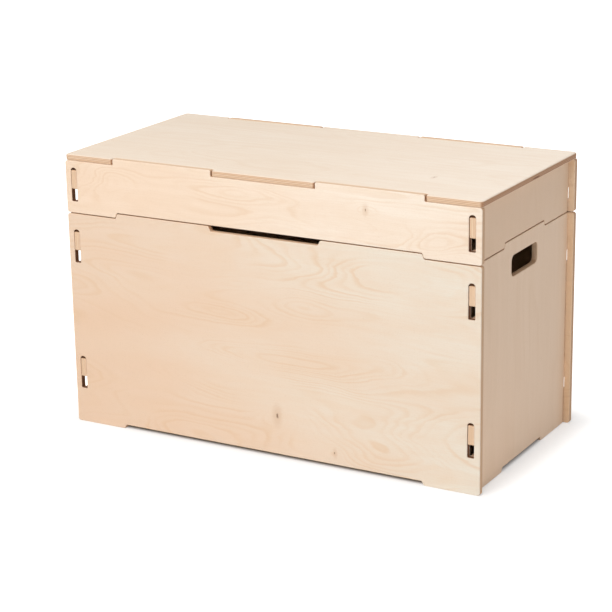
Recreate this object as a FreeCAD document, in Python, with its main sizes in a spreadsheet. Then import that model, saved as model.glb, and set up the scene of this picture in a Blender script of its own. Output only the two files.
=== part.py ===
import FreeCAD, Part
import math
import os
import re
import Sketcher

# Birch plywood toy chest, in millimetres. The origin is on the floor, in the middle of the outline.
# +X is to the right, +Y to the back, +Z up. Heights in every sketch are heights above the floor.

SIZES = [
    ("chest_length", 860, "length of the front, the back and the top"),
    ("chest_depth", 424, "front face to back face"),
    ("chest_height", 532, "floor to the top face"),
    ("lid_height", 112.5, "top face to the lid's lowest edge"),
    ("lid_gap", 2, "gap between box and lid"),
    ("ply", 12, "thickness of the case panels"),
    ("easing", 1.5, "round-over along every panel edge"),
    ("top_easing", 3, "round-over along the top's edges"),
    ("top_corner", 8, "corners of the top"),
    ("notch_round", 4.5, "mouths of the top's notches"),
    ("overhang", 12, "front and back run this far past the sides"),
    ("corner_round", 5, "corners of the panels"),
    ("step_round", 3, "corners of steps and slots"),
    ("corner_run", 109, "panel end to the first step"),
    ("step_slope", 4, "sideways run of a slanted step"),
    ("step_rise", 9.5, "rise of the rim between the corners"),
    ("foot_rise", 8, "height of the cut-out between the feet"),
    ("grip_width", 233, "finger slot in the front rim"),
    ("grip_depth", 9.5, "finger slot below the rim"),
    ("grip_slope", 5, "sideways run of the finger slot's ends"),
    ("tab_start", 108, "panel end to the first tab"),
    ("tab_width", 214, "tabs of the lid panels through the top"),
    ("tab_gap", 2, "free space beside a tab"),
    ("fit_gap", 0.2, "slip fit between wooden pieces"),
    ("slot_height", 65, "hook slot"),
    ("slot_side_gap", 0.8, "free space inside a hook, which bears outwards"),
    ("slot_above_floor", 68.5, "floor to the lower slot"),
    ("slot_below_rim", 31, "box rim to the upper slot"),
    ("slot_in_lid", 54.5, "lid's lowest edge to the middle of its slot"),
    ("hook_drop", 24, "how far a panel drops to lock on its hooks"),
    ("hook_neck", 12, "height of a hook's neck"),
    ("hook_top_gap", 5, "free space above a hook"),
    ("hook_recess", 1, "hook tip behind the panel face"),
    ("hook_relief", 16, "notch in the side's front edge under a hook"),
    ("edge_setback", 2, "side's edge behind its bearing stretches"),
    ("handle_width", 116, "handle hole"),
    ("handle_height", 39.5, "handle hole"),
    ("handle_round", 11, "corners of the handle hole"),
    ("handle_below_rim", 20.5, "box rim to the handle hole"),
    ("bottom_ply", 9, "bottom panel"),
    ("bottom_gap", 0.5, "free space round the bottom panel"),
    ("cleat_size", 20, "bottom cleats, square"),
    ("cleat_base", 10, "floor to the bottom cleats"),
    ("lid_cleat_size", 18, "lid cleats, square"),
    ("cleat_inset", 30, "lid cleat ends to the panels"),
    ("pad_radius", 3.5, "lid pads"),
    ("body_gap", 0.3, "clearance between pieces that move apart"),
    ("pin_gap", 0.05, "running clearance round a pin"),
    ("hinge_inset", 190, "panel end to the middle of a hinge"),
    ("hinge_width", 60, "hinge along its pin"),
    ("leaf_height", 24, "hinge pin to the leaf's far edge"),
    ("leaf_thick", 1.8, "hinge leaf"),
    ("knuckle_radius", 3, "hinge knuckle, outside"),
    ("hinge_pin_radius", 1.5, "hinge pin"),
    ("pin_head_radius", 2.3, "hinge pin's end"),
    ("pin_head_thick", 1, "hinge pin's end"),
    ("screw_radius", 1.6, "screw shank"),
    ("screw_head_radius", 3.1, "countersunk head"),
    ("screw_head_depth", 1.5, "countersunk head"),
    ("screw_length", 9.5, "screws in hinges and stays"),
    ("screw_pitch", 22, "between the screws of a leaf"),
    ("screw_reach", 14, "hinge pin to the screws of a leaf"),
    ("cleat_screw_length", 28, "screws through the cleats"),
    ("screw_inset", 100, "side or panel face to the first screw of a cleat"),
    ("stay_arm", 150, "pivot to pivot of every stay arm, and hinge pin to both plates"),
    ("stay_drop", 20, "hinge pin down to the box plate's pivot"),
    ("stay_rise", 51, "hinge pin up to the lid plate's pivot"),
    ("stay_width", 14, "stay arm"),
    ("stay_thick", 2, "stay arm and plate"),
    ("stay_space", 0.5, "between plate and arm, and between the arms"),
    ("plate_length", 40, "stay plate"),
    ("plate_height", 19, "stay plate"),
    ("plate_round", 6, "stay plate's corners"),
    ("plate_screws", 27, "between the two screws of a plate"),
    ("rivet_radius", 2.5, "stay rivet"),
    ("rivet_head_radius", 4.5, "stay rivet"),
    ("rivet_head_thick", 1.2, "stay rivet"),
]

ALIASES = {alias for alias, number, note in SIZES}
KNUCKLES = 5  # along each hinge, taken in turn by its two leaves
NEAR = 0.01  # closer than this, two places in a sketch are one

doc = FreeCAD.newDocument("toy_chest")
sheet = doc.addObject("Spreadsheet::Sheet", "Sizes")
for row, (alias, number, note) in enumerate(SIZES, 1):
    sheet.set(f"A{row}", alias)
    sheet.set(f"B{row}", str(number))
    sheet.setAlias(f"B{row}", alias)
    sheet.set(f"C{row}", note)
doc.recompute()


def total(*terms):
    """Expression that adds its terms."""
    return " + ".join(f"({term})" for term in terms)


def minus(first, second):
    return f"({first}) - ({second})"


def cells(text):
    """Writes the sheet's name before each of its aliases."""
    return re.sub("[a-z_]+", lambda word: f"Sizes.{word[0]}" if word[0] in ALIASES else word[0], text)


def value(expression):
    return float(sheet.evalExpression(expression))


# Places that more than one piece uses, each an expression of the sheet's cells.
LENGTH = cells("chest_length")
DEPTH = cells("chest_depth")
PLY = cells("ply")
LEFT_END = cells("- chest_length / 2")
FRONT_FACE = cells("-(chest_depth + 2 * knuckle_radius) / 2")
TOP = cells("chest_height")
SHOULDER = cells("chest_height - ply")
LID_LOW = cells("chest_height - lid_height")
LID_HIGH = cells("chest_height - lid_height + step_rise")
RIM_LOW = cells("chest_height - lid_height - lid_gap")
RIM_HIGH = cells("chest_height - lid_height - lid_gap + step_rise")
SIDE_OUTER = cells("chest_length / 2 - overhang")
SIDE_INNER = cells("chest_length / 2 - overhang - ply")
LOWER_SLOT = cells("slot_above_floor")
UPPER_SLOT = total(RIM_LOW, cells("- slot_below_rim - slot_height"))
LID_SLOT = total(LID_LOW, cells("slot_in_lid - slot_height / 2"))
CLEAT_TOP = cells("cleat_base + cleat_size")
HINGE_Y = total(FRONT_FACE, cells("chest_depth + knuckle_radius"))
HINGE_Z = total(RIM_HIGH, cells("lid_gap / 2"))
BOX_REACH = cells("sqrt(stay_arm^2 - stay_drop^2)")
LID_REACH = cells("sqrt(stay_arm^2 - stay_rise^2)")
BOX_PIVOT = (total(HINGE_Y, f"-({BOX_REACH})"), total(HINGE_Z, cells("- stay_drop")))
LID_PIVOT = (total(HINGE_Y, f"-({LID_REACH})"), total(HINGE_Z, cells("stay_rise")))
ELBOW = (total(BOX_PIVOT[0], f"-({LID_REACH})"), total(BOX_PIVOT[1], cells("stay_rise")))

made = []

# Each origin plane, as the vector's components along its sketch's two axes and along its thickness.
AXES = {
    "XZ_Plane": ("x", "z", "y"),
    "YZ_Plane": ("y", "z", "x"),
    "XY_Plane": ("x", "y", "z"),
}


def keep(piece, label):
    piece.Label = label
    made.append(piece)
    return piece


def place(piece, x, y, z):
    for axis, position in (("x", x), ("y", y), ("z", z)):
        piece.setExpression(f"Placement.Base.{axis}", position)


def new_body(label, x="0", y="0", z="0"):
    body = keep(doc.addObject("PartDesign::Body", label), label)
    place(body, x, y, z)
    return body


def new_sketch(body, role):
    plane = next(item for item in body.Origin.OriginFeatures if item.Role == role)
    sketch = body.newObject("Sketcher::SketchObject", body.Name + "_sketch")
    sketch.AttachmentSupport = [(plane, "")]
    sketch.MapMode = "FlatFace"
    return sketch


def tie(sketch, geometry, position, u, v):
    """Holds one point of a sketch at the place that two expressions give."""
    for kind, axis_line, distance in (("DistanceX", -2, u), ("DistanceY", -1, v)):
        if abs(value(distance)) < NEAR:
            sketch.addConstraint(Sketcher.Constraint("PointOnObject", geometry, position, axis_line))
        else:
            dimension = Sketcher.Constraint(kind, -1, 1, geometry, position, value(distance))
            index = sketch.addConstraint(dimension)
            sketch.setExpression(f"Constraints[{index}]", distance)


def draw_outline(sketch, corners):
    points = [FreeCAD.Vector(value(corner[0]), value(corner[1]), 0) for corner in corners]
    first = sketch.GeometryCount
    count = len(points)
    for index in range(count):
        sketch.addGeometry(Part.LineSegment(points[index], points[(index + 1) % count]), False)
    for index in range(count):
        following = first + (index + 1) % count
        sketch.addConstraint(Sketcher.Constraint("Coincident", first + index, 2, following, 1))
    for index, corner in enumerate(corners):
        tie(sketch, first + index, 1, corner[0], corner[1])


def draw_circles(sketch, centres, radius):
    for u, v in centres:
        centre = FreeCAD.Vector(value(u), value(v), 0)
        circle = Part.Circle(centre, FreeCAD.Vector(0, 0, 1), value(radius))
        geometry = sketch.addGeometry(circle, False)
        tie(sketch, geometry, 3, u, v)
        index = sketch.addConstraint(Sketcher.Constraint("Radius", geometry, value(radius)))
        sketch.setExpression(f"Constraints[{index}]", radius)


def draw_box(sketch, low, high):
    draw_outline(sketch, [(low[0], low[1]), (high[0], low[1]), (high[0], high[1]), (low[0], high[1])])


def pad(body, sketch, length, backwards=False):
    feature = body.newObject("PartDesign::Pad", body.Name + "_pad")
    feature.Profile = sketch
    feature.setExpression("Length", length)
    feature.Reversed = backwards
    feature.Refine = True
    doc.recompute()


def pocket(body, sketch, length=None, backwards=False):
    """Cuts to a depth, or through everything both ways when no depth is given."""
    before = body.Shape.Volume
    feature = body.newObject("PartDesign::Pocket", body.Name + "_pocket")
    feature.Profile = sketch
    feature.Reversed = backwards
    feature.Refine = True
    if length is None:
        feature.Type = "ThroughAll"
        feature.Midplane = True
    else:
        feature.setExpression("Length", length)
    doc.recompute()
    if body.Shape.Volume > before - NEAR:
        raise ValueError(f"{feature.Name} cuts nothing")


def fillet(body, chosen, radius):
    """Rounds the edges of the body's last feature that a test chooses."""
    base = body.Tip
    names = [f"Edge{n}" for n, edge in enumerate(base.Shape.Edges, 1) if chosen(edge)]
    if not names:
        raise ValueError(f"{body.Label} has no edge to round")
    feature = body.newObject("PartDesign::Fillet", body.Name + "_fillet")
    feature.Base = (base, names)
    feature.setExpression("Radius", radius)
    doc.recompute()


def across(role, places):
    """Test for straight edges through the thickness at given places of the sketch."""
    first, second, through = AXES[role]
    wanted = [(value(u), value(v)) for u, v in places]

    def chosen(edge):
        if len(edge.Vertexes) != 2:
            return False
        start, end = edge.Vertexes[0].Point, edge.Vertexes[1].Point
        if abs(getattr(start, through) - getattr(end, through)) < NEAR:
            return False
        return any(
            all(math.hypot(getattr(p, first) - u, getattr(p, second) - v) < NEAR for p in (start, end))
            for u, v in wanted
        )

    return chosen


def on_faces(role, thickness):
    """Test for the edges that bound the two broad faces of a panel."""
    through = AXES[role][2]
    thick = value(thickness)

    def chosen(edge):
        heights = [abs(getattr(vertex.Point, through)) for vertex in edge.Vertexes]
        return max(heights) < NEAR or min(heights) > thick - NEAR

    return chosen


def slot_mouths(role, mouths):
    """Test for the edges on the sketch's own plane that lie within any of its boxes."""
    first, second, through = AXES[role]
    spans = [[value(place) for place in (*low, *high)] for low, high in mouths]

    def chosen(edge):
        points = [vertex.Point for vertex in edge.Vertexes]
        if max(abs(getattr(point, through)) for point in points) > NEAR:
            return False
        return any(
            all(
                left - NEAR < getattr(point, first) < right + NEAR
                and low - NEAR < getattr(point, second) < high + NEAR
                for point in points
            )
            for left, low, right, high in spans
        )

    return chosen


def ease(body, role, radius=cells("easing")):
    fillet(body, on_faces(role, PLY), radius)


def round_outline(body, role, corners):
    """Rounds the corners of an outline, each with the radius it carries."""
    for radius in sorted({corner[2] for corner in corners if corner[2]}):
        places = [corner[:2] for corner in corners if corner[2] == radius]
        fillet(body, across(role, places), radius)


CORNER = cells("corner_round")
STEP = cells("step_round")
SMALL = cells("easing + fit_gap")  # no smaller, so that the easing can run round it
SLOT_FLOOR = cells("easing + 2 * fit_gap")


def mirrored(points, size):
    """The same points seen from the far end, in the opposite order."""
    return [(f"{size} - ({u})", v, radius) for u, v, radius in reversed(points)]


def foot_edge(end, start, size):
    """Bottom edge from end to end: a foot at each end and a raised stretch between."""
    half = [
        (end, "0", CORNER),
        (total(start, cells("corner_run")), "0", STEP),
        (total(start, cells("corner_run + step_slope")), cells("foot_rise"), STEP),
    ]
    return half + mirrored(half, size)


def rim_edge(end, start, size, low, high, middle=()):
    """Stepped edge where box and lid meet, from end to end; its steps are counted from the start."""
    half = [
        (end, low, CORNER),
        (total(start, cells("corner_run")), low, STEP),
        (total(start, cells("corner_run + step_slope")), high, STEP),
    ]
    return half + list(middle) + mirrored(half, size)


def broad_panel(label, outline, slots, at_back):
    """Front or back panel: its sketch plane is its outer face, and hook slots are cut near both ends."""
    if at_back:
        body = new_body(label, cells("chest_length / 2"), total(FRONT_FACE, DEPTH))
        body.Placement.Rotation = FreeCAD.Rotation(FreeCAD.Vector(0, 0, 1), 180)
    else:
        body = new_body(label, LEFT_END, FRONT_FACE)
    sketch = new_sketch(body, "XZ_Plane")
    draw_outline(sketch, outline)
    pad(body, sketch, PLY, backwards=True)
    round_outline(body, "XZ_Plane", outline)
    ease(body, "XZ_Plane")

    near = cells("overhang - fit_gap")
    far = cells("overhang + ply + slot_side_gap")
    columns = [(near, far), (f"{LENGTH} - ({far})", f"{LENGTH} - ({near})")]
    openings = new_sketch(body, "XZ_Plane")
    ledges = new_sketch(body, "XZ_Plane")
    bottoms, tops, mouths = [], [], []
    for left, right in columns:
        for bottom in slots:
            waist = total(bottom, cells("hook_drop + hook_neck + fit_gap"))
            top = total(bottom, cells("slot_height"))
            draw_box(openings, (left, bottom), (right, waist))
            draw_box(ledges, (left, waist), (right, top))
            bottoms += [(left, bottom), (right, bottom)]
            tops += [(left, top), (right, top)]
            mouths.append(((left, bottom), (right, top)))
    pocket(body, openings)
    pocket(body, ledges, cells("ply / 2"))
    fillet(body, across("XZ_Plane", bottoms), SLOT_FLOOR)
    fillet(body, across("XZ_Plane", tops), cells("ply / 2"))
    fillet(body, slot_mouths("XZ_Plane", mouths), cells("easing"))
    return body


def box_broad_panel(label, at_back):
    grip = []
    if not at_back:
        middle = cells("chest_length / 2")
        reach = cells("grip_width / 2")
        floor = total(RIM_HIGH, cells("- grip_depth"))
        grip = [
            (f"{middle} - {reach}", RIM_HIGH, STEP),
            (total(f"{middle} - {reach}", cells("grip_slope")), floor, STEP),
            (total(f"{middle} + {reach}", cells("- grip_slope")), floor, STEP),
            (f"{middle} + {reach}", RIM_HIGH, STEP),
        ]
    rim = rim_edge("0", "0", LENGTH, RIM_LOW, RIM_HIGH, grip)
    outline = foot_edge("0", "0", LENGTH) + rim[::-1]
    return broad_panel(label, outline, [LOWER_SLOT, UPPER_SLOT], at_back)


def lid_broad_panel(label, at_back):
    start = cells("tab_start")
    end = cells("tab_start + tab_width")
    half = [
        ("0", SHOULDER, CORNER),
        (start, SHOULDER, SMALL),
        (start, TOP, STEP),
        (end, TOP, STEP),
        (end, SHOULDER, SMALL),
    ]
    upper = half + mirrored(half, LENGTH)
    outline = rim_edge("0", "0", LENGTH, LID_LOW, LID_HIGH) + upper[::-1]
    return broad_panel(label, outline, [LID_SLOT], at_back)


BEARING = cells("ply + edge_setback")


def hook_edge(slots, notched):
    """Edge of a side from the bottom up: set back, then bearing on the panel at each slot's hook."""
    lip_back = cells("ply / 2 - fit_gap")
    inner = cells("ply + hook_relief")
    tip = cells("hook_recess")
    points = []
    for bottom in slots:
        under = total(bottom, cells("hook_drop"))
        neck = total(bottom, cells("hook_drop + hook_neck"))
        crest = total(bottom, cells("slot_height - hook_top_gap"))
        top = total(bottom, cells("slot_height"))
        if notched:
            points += [
                (BEARING, bottom, SMALL),
                (inner, bottom, STEP),
                (inner, under, STEP),
            ]
        else:
            points += [
                (BEARING, minus(bottom, cells("edge_setback")), None),
                (PLY, bottom, None),
                (PLY, under, SMALL),
            ]
        points += [
            (tip, under, SMALL),
            (tip, crest, SMALL),
            (lip_back, crest, SMALL),
            (lip_back, neck, None),
            (PLY, neck, None),
        ]
        if bottom != slots[-1]:
            points += [
                (PLY, top, None),
                (BEARING, total(top, cells("edge_setback")), None),
            ]
    return points


def side_panel(label, right, lower_edge, upper_edge, slots):
    """Side panel: its sketch plane is its outer face, and it has hooks on its front and back edges."""
    outer = SIDE_OUTER if right else f"-({SIDE_OUTER})"
    body = new_body(label, outer, FRONT_FACE)
    front = hook_edge(slots, True)
    back = mirrored(hook_edge(slots, False)[::-1], DEPTH)
    outline = lower_edge + back + upper_edge[::-1] + front[::-1]
    sketch = new_sketch(body, "YZ_Plane")
    draw_outline(sketch, outline)
    pad(body, sketch, PLY, backwards=right)
    round_outline(body, "YZ_Plane", outline)
    return body


def offset_sketch(body, role, height):
    sketch = new_sketch(body, role)
    sketch.setExpression("AttachmentOffset.Base.z", height)
    return sketch


HOLE = cells("screw_radius + pin_gap")


def pilot_holes(body, role, height, centres, depth, backwards=False):
    """Blind screw holes that start at a height above the sketch plane."""
    sketch = offset_sketch(body, role, height)
    draw_circles(sketch, centres, HOLE)
    pocket(body, sketch, depth, backwards)


def screw_holes(body, role, centres, face):
    """Holes right through, with a countersink on the face at the given place."""
    through = AXES[role][2]
    sketch = new_sketch(body, role)
    draw_circles(sketch, centres, HOLE)
    pocket(body, sketch)
    base = body.Tip
    names = [
        f"Edge{n}"
        for n, edge in enumerate(base.Shape.Edges, 1)
        if isinstance(edge.Curve, Part.Circle)
        and abs(edge.Curve.Radius - value(HOLE)) < NEAR
        and abs(getattr(edge.Curve.Center, through) - value(face)) < NEAR
    ]
    if len(names) != len(centres):
        raise ValueError(f"{body.Label} misses a countersink")
    feature = body.newObject("PartDesign::Chamfer", body.Name + "_countersink")
    feature.Base = (base, names)
    feature.setExpression("Size", cells("screw_head_radius - screw_radius"))
    doc.recompute()


def rod(name, radius, length, x="0", y="0", z="0", along=(0, 0, 1)):
    """Cylinder from a point, along a direction."""
    cylinder = doc.addObject("Part::Cylinder", name)
    cylinder.setExpression("Radius", radius)
    cylinder.setExpression("Height", length)
    cylinder.Placement.Rotation = FreeCAD.Rotation(FreeCAD.Vector(0, 0, 1), FreeCAD.Vector(*along))
    place(cylinder, x, y, z)
    return cylinder


def screw(name, x, y, z, along, length):
    """Countersunk screw whose flat head is at a point and whose shank runs along a direction."""
    head = doc.addObject("Part::Cone", name + "_head")
    head.setExpression("Radius1", cells("screw_head_radius"))
    head.setExpression("Radius2", cells("screw_radius"))
    head.setExpression("Height", cells("screw_head_depth"))
    shank = rod(name + "_shank", cells("screw_radius"), length)
    whole = doc.addObject("Part::Fuse", name)
    whole.Base = head
    whole.Tool = shank
    whole.Placement.Rotation = FreeCAD.Rotation(FreeCAD.Vector(0, 0, 1), FreeCAD.Vector(*along))
    place(whole, x, y, z)
    return whole


def screw_group(label, spots, length):
    """One node of separate screws, from a list of points and directions."""
    group = keep(doc.addObject("Part::Compound", label), label)
    group.Links = [
        screw(f"{label}_{n}", x, y, z, along, length) for n, (x, y, z, along) in enumerate(spots, 1)
    ]
    return group


def spread(reach, count):
    """Evenly spaced places from minus reach to plus reach."""
    return [f"({reach}) * {2 * n / (count - 1) - 1}" for n in range(count)]


def side_x(right, inward):
    """Place at a distance inside the inner face of a side."""
    return minus(SIDE_INNER, inward) if right else minus(inward, SIDE_INNER)


MIDDLE_Y = total(FRONT_FACE, cells("chest_depth / 2"))
FRONT_INNER = total(FRONT_FACE, PLY)
BACK_INNER = total(FRONT_FACE, cells("chest_depth - ply"))

# Screw rows. Each row is a list of places along the piece, counted from the middle of the chest.
LONG_ROW = spread(cells("chest_length / 2 - overhang - screw_inset"), 4)
SIDE_ROW = spread(cells("chest_depth / 2 - screw_inset"), 3)
TOP_ROW = spread(cells("(chest_depth / 2 - screw_inset) / 2"), 2)  # half-way between the side screws
BOTTOM_SCREW_Z = cells("cleat_base + cleat_size / 2")
LID_SCREW_Z = total(SHOULDER, cells("- lid_cleat_size / 2"))
PANEL_PILOT = cells("cleat_screw_length - cleat_size + fit_gap")
LID_PILOT = cells("cleat_screw_length - lid_cleat_size + fit_gap")


def plate_spots(pivot):
    """Screw places of a stay plate: one in front of its pivot and one behind it."""
    return [(total(pivot[0], reach), pivot[1]) for reach in spread(cells("plate_screws / 2"), 2)]


def local(spots, first, second="0"):
    return [(minus(u, first), minus(v, second)) for u, v in spots]


def make_sides():
    for right in (False, True):
        hand = "right" if right else "left"
        inner = f"-({PLY})" if right else PLY

        lower = foot_edge(BEARING, PLY, DEPTH)
        upper = rim_edge(PLY, PLY, DEPTH, RIM_LOW, RIM_HIGH)
        body = side_panel(f"box_{hand}_side", right, lower, upper, [LOWER_SLOT, UPPER_SLOT])
        near = cells("chest_depth / 2 - handle_width / 2")
        far = cells("chest_depth / 2 + handle_width / 2")
        crown = total(RIM_LOW, cells("- handle_below_rim"))
        floor = total(crown, cells("- handle_height"))
        hole = new_sketch(body, "YZ_Plane")
        draw_box(hole, (near, floor), (far, crown))
        pocket(body, hole)
        corners = [(u, v) for u in (near, far) for v in (floor, crown)]
        fillet(body, across("YZ_Plane", corners), cells("handle_round"))
        ease(body, "YZ_Plane")
        holes = local(plate_spots(BOX_PIVOT), FRONT_FACE)
        pilot_holes(body, "YZ_Plane", inner, holes, cells("screw_length - stay_thick + fit_gap"), right)
        holes = [(total(cells("chest_depth / 2"), reach), BOTTOM_SCREW_Z) for reach in SIDE_ROW]
        pilot_holes(body, "YZ_Plane", inner, holes, PANEL_PILOT, right)

        lower = rim_edge(BEARING, PLY, DEPTH, LID_LOW, LID_HIGH)
        upper = [(PLY, SHOULDER, STEP), (minus(DEPTH, PLY), SHOULDER, STEP)]
        body = side_panel(f"lid_{hand}_side", right, lower, upper, [LID_SLOT])
        ease(body, "YZ_Plane")
        holes = local(plate_spots(LID_PIVOT), FRONT_FACE)
        pilot_holes(body, "YZ_Plane", inner, holes, cells("screw_length - stay_thick + fit_gap"), right)
        holes = [(total(cells("chest_depth / 2"), reach), LID_SCREW_Z) for reach in SIDE_ROW]
        pilot_holes(body, "YZ_Plane", inner, holes, LID_PILOT, right)


def make_broad_panels():
    """Front and back of the box and of the lid, with their screw holes."""
    inside = [(total(cells("chest_length / 2"), reach), BOTTOM_SCREW_Z) for reach in LONG_ROW]
    for at_back in (False, True):
        end = "back" if at_back else "front"
        box = box_broad_panel(f"box_{end}_panel", at_back)
        lid = lid_broad_panel(f"lid_{end}_panel", at_back)
        pilot_holes(box, "XZ_Plane", f"-({PLY})", inside, PANEL_PILOT, True)
        if at_back:
            leaf_pilot = cells("screw_length - leaf_thick + fit_gap")
            for body, level in ((box, "- screw_reach"), (lid, "screw_reach")):
                holes = [
                    (total(cells("chest_length / 2"), x), total(HINGE_Z, cells(level)))
                    for x in hinge_screw_places()
                ]
                pilot_holes(body, "XZ_Plane", "0", holes, leaf_pilot)


def hinge_middles():
    return [cells("hinge_inset - chest_length / 2"), cells("chest_length / 2 - hinge_inset")]


def hinge_screw_places():
    return [total(x, reach) for x in hinge_middles() for reach in spread(cells("screw_pitch"), 3)]


def make_top():
    """Top panel: notches along its front and back let the tabs of the lid panels through."""
    body = new_body("lid_top", LEFT_END, FRONT_FACE, SHOULDER)
    left = minus(cells("tab_start"), cells("tab_gap"))
    right = cells("tab_start + tab_width + tab_gap")
    deep = cells("ply + fit_gap")
    corner = cells("top_corner")
    mouth = cells("notch_round")
    inner = cells("top_easing + fit_gap")
    half = [
        ("0", "0", corner),
        (left, "0", mouth),
        (left, deep, inner),
        (right, deep, inner),
        (right, "0", mouth),
    ]
    front = half + mirrored(half, LENGTH)
    back = [(u, minus(DEPTH, v), radius) for u, v, radius in reversed(front)]
    outline = front + back
    sketch = new_sketch(body, "XY_Plane")
    draw_outline(sketch, outline)
    pad(body, sketch, PLY)
    round_outline(body, "XY_Plane", outline)
    ease(body, "XY_Plane", cells("top_easing"))
    columns = [cells("overhang + ply + lid_cleat_size / 2")]
    columns.append(minus(LENGTH, columns[0]))
    holes = [(u, total(cells("chest_depth / 2"), reach)) for u in columns for reach in TOP_ROW]
    pilot_holes(body, "XY_Plane", "0", holes, LID_PILOT, True)


def timber(label, low, high, role=None, centres=(), face=None):
    """Straight piece between two corners, with countersunk holes across it if it is screwed."""
    body = new_body(label, *low)
    sketch = new_sketch(body, "XY_Plane")
    draw_box(sketch, ("0", "0"), (minus(high[0], low[0]), minus(high[1], low[1])))
    pad(body, sketch, minus(high[2], low[2]))
    if centres:
        screw_holes(body, role, centres, face)
    return body


def make_bottom():
    """Bottom panel, lying loose on four cleats that are screwed to the case."""
    gap = cells("bottom_gap")
    low = (total(f"-({SIDE_INNER})", gap), total(FRONT_INNER, gap), CLEAT_TOP)
    high = (minus(SIDE_INNER, gap), minus(BACK_INNER, gap), total(CLEAT_TOP, cells("bottom_ply")))
    board = timber("bottom_panel", low, high)
    corners = [(u, v) for u in ("0", minus(high[0], low[0])) for v in ("0", minus(high[1], low[1]))]
    fillet(board, across("XY_Plane", corners), cells("corner_round"))

    size = cells("cleat_size")
    fit = cells("fit_gap")
    base = cells("cleat_base")
    left, right = total(f"-({SIDE_INNER})", fit), minus(SIDE_INNER, fit)
    half = cells("cleat_size / 2")
    holes = [(minus(reach, left), half) for reach in LONG_ROW]
    timber("bottom_cleat_front", (left, FRONT_INNER, base), (right, total(FRONT_INNER, size), CLEAT_TOP),
           "XZ_Plane", holes, size)
    timber("bottom_cleat_back", (left, minus(BACK_INNER, size), base), (right, BACK_INNER, CLEAT_TOP),
           "XZ_Plane", holes, "0")
    near, far = total(FRONT_INNER, size, fit), minus(BACK_INNER, total(size, fit))
    holes = [(minus(total(MIDDLE_Y, reach), near), half) for reach in SIDE_ROW]
    timber("bottom_cleat_left", (side_x(False, "0"), near, base), (side_x(False, size), far, CLEAT_TOP),
           "YZ_Plane", holes, size)
    timber("bottom_cleat_right", (side_x(True, size), near, base), (side_x(True, "0"), far, CLEAT_TOP),
           "YZ_Plane", holes, "0")

    spots = [(x, total(FRONT_INNER, size), BOTTOM_SCREW_Z, (0, -1, 0)) for x in LONG_ROW]
    spots += [(x, minus(BACK_INNER, size), BOTTOM_SCREW_Z, (0, 1, 0)) for x in LONG_ROW]
    for right_hand, along in ((False, (-1, 0, 0)), (True, (1, 0, 0))):
        x = side_x(right_hand, size)
        spots += [(x, total(MIDDLE_Y, reach), BOTTOM_SCREW_Z, along) for reach in SIDE_ROW]
    screw_group("bottom_cleat_screws", spots, cells("cleat_screw_length"))


def make_lid_cleats():
    """Cleats that join the top to the lid's sides, screwed both ways."""
    size = cells("lid_cleat_size")
    half = cells("lid_cleat_size / 2")
    near, far = total(FRONT_INNER, cells("cleat_inset")), minus(BACK_INNER, cells("cleat_inset"))
    under = minus(SHOULDER, size)
    spots = []
    for right in (False, True):
        hand = "right" if right else "left"
        along = (1, 0, 0) if right else (-1, 0, 0)
        x_low, x_high = sorted((side_x(right, "0"), side_x(right, size)), key=value)
        across_holes = [(minus(total(MIDDLE_Y, reach), near), half) for reach in SIDE_ROW]
        body = timber(f"lid_cleat_{hand}", (x_low, near, under), (x_high, far, SHOULDER),
                      "YZ_Plane", across_holes, "0" if right else size)
        up_holes = [(half, minus(total(MIDDLE_Y, reach), near)) for reach in TOP_ROW]
        screw_holes(body, "XY_Plane", up_holes, "0")
        spots += [(side_x(right, size), total(MIDDLE_Y, reach), LID_SCREW_Z, along) for reach in SIDE_ROW]
        spots += [(side_x(right, half), total(MIDDLE_Y, reach), under, (0, 0, 1)) for reach in TOP_ROW]
    screw_group("lid_cleat_screws", spots, cells("cleat_screw_length"))


def make_pads():
    """Round pads near the rim's corners, just clear of the closed lid."""
    group = keep(doc.addObject("Part::Compound", "lid_bumpers"), "lid_bumpers")
    middle = total(SIDE_INNER, cells("ply / 2"))
    depths = (cells("ply + corner_run / 2"), cells("chest_depth - ply - corner_run / 2"))
    spots = [(x, total(FRONT_FACE, y)) for x in (middle, f"-({middle})") for y in depths]
    group.Links = [
        rod(f"pad_{n}", cells("pad_radius"), cells("lid_gap - body_gap"), x, y, RIM_LOW)
        for n, (x, y) in enumerate(spots, 1)
    ]


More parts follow.
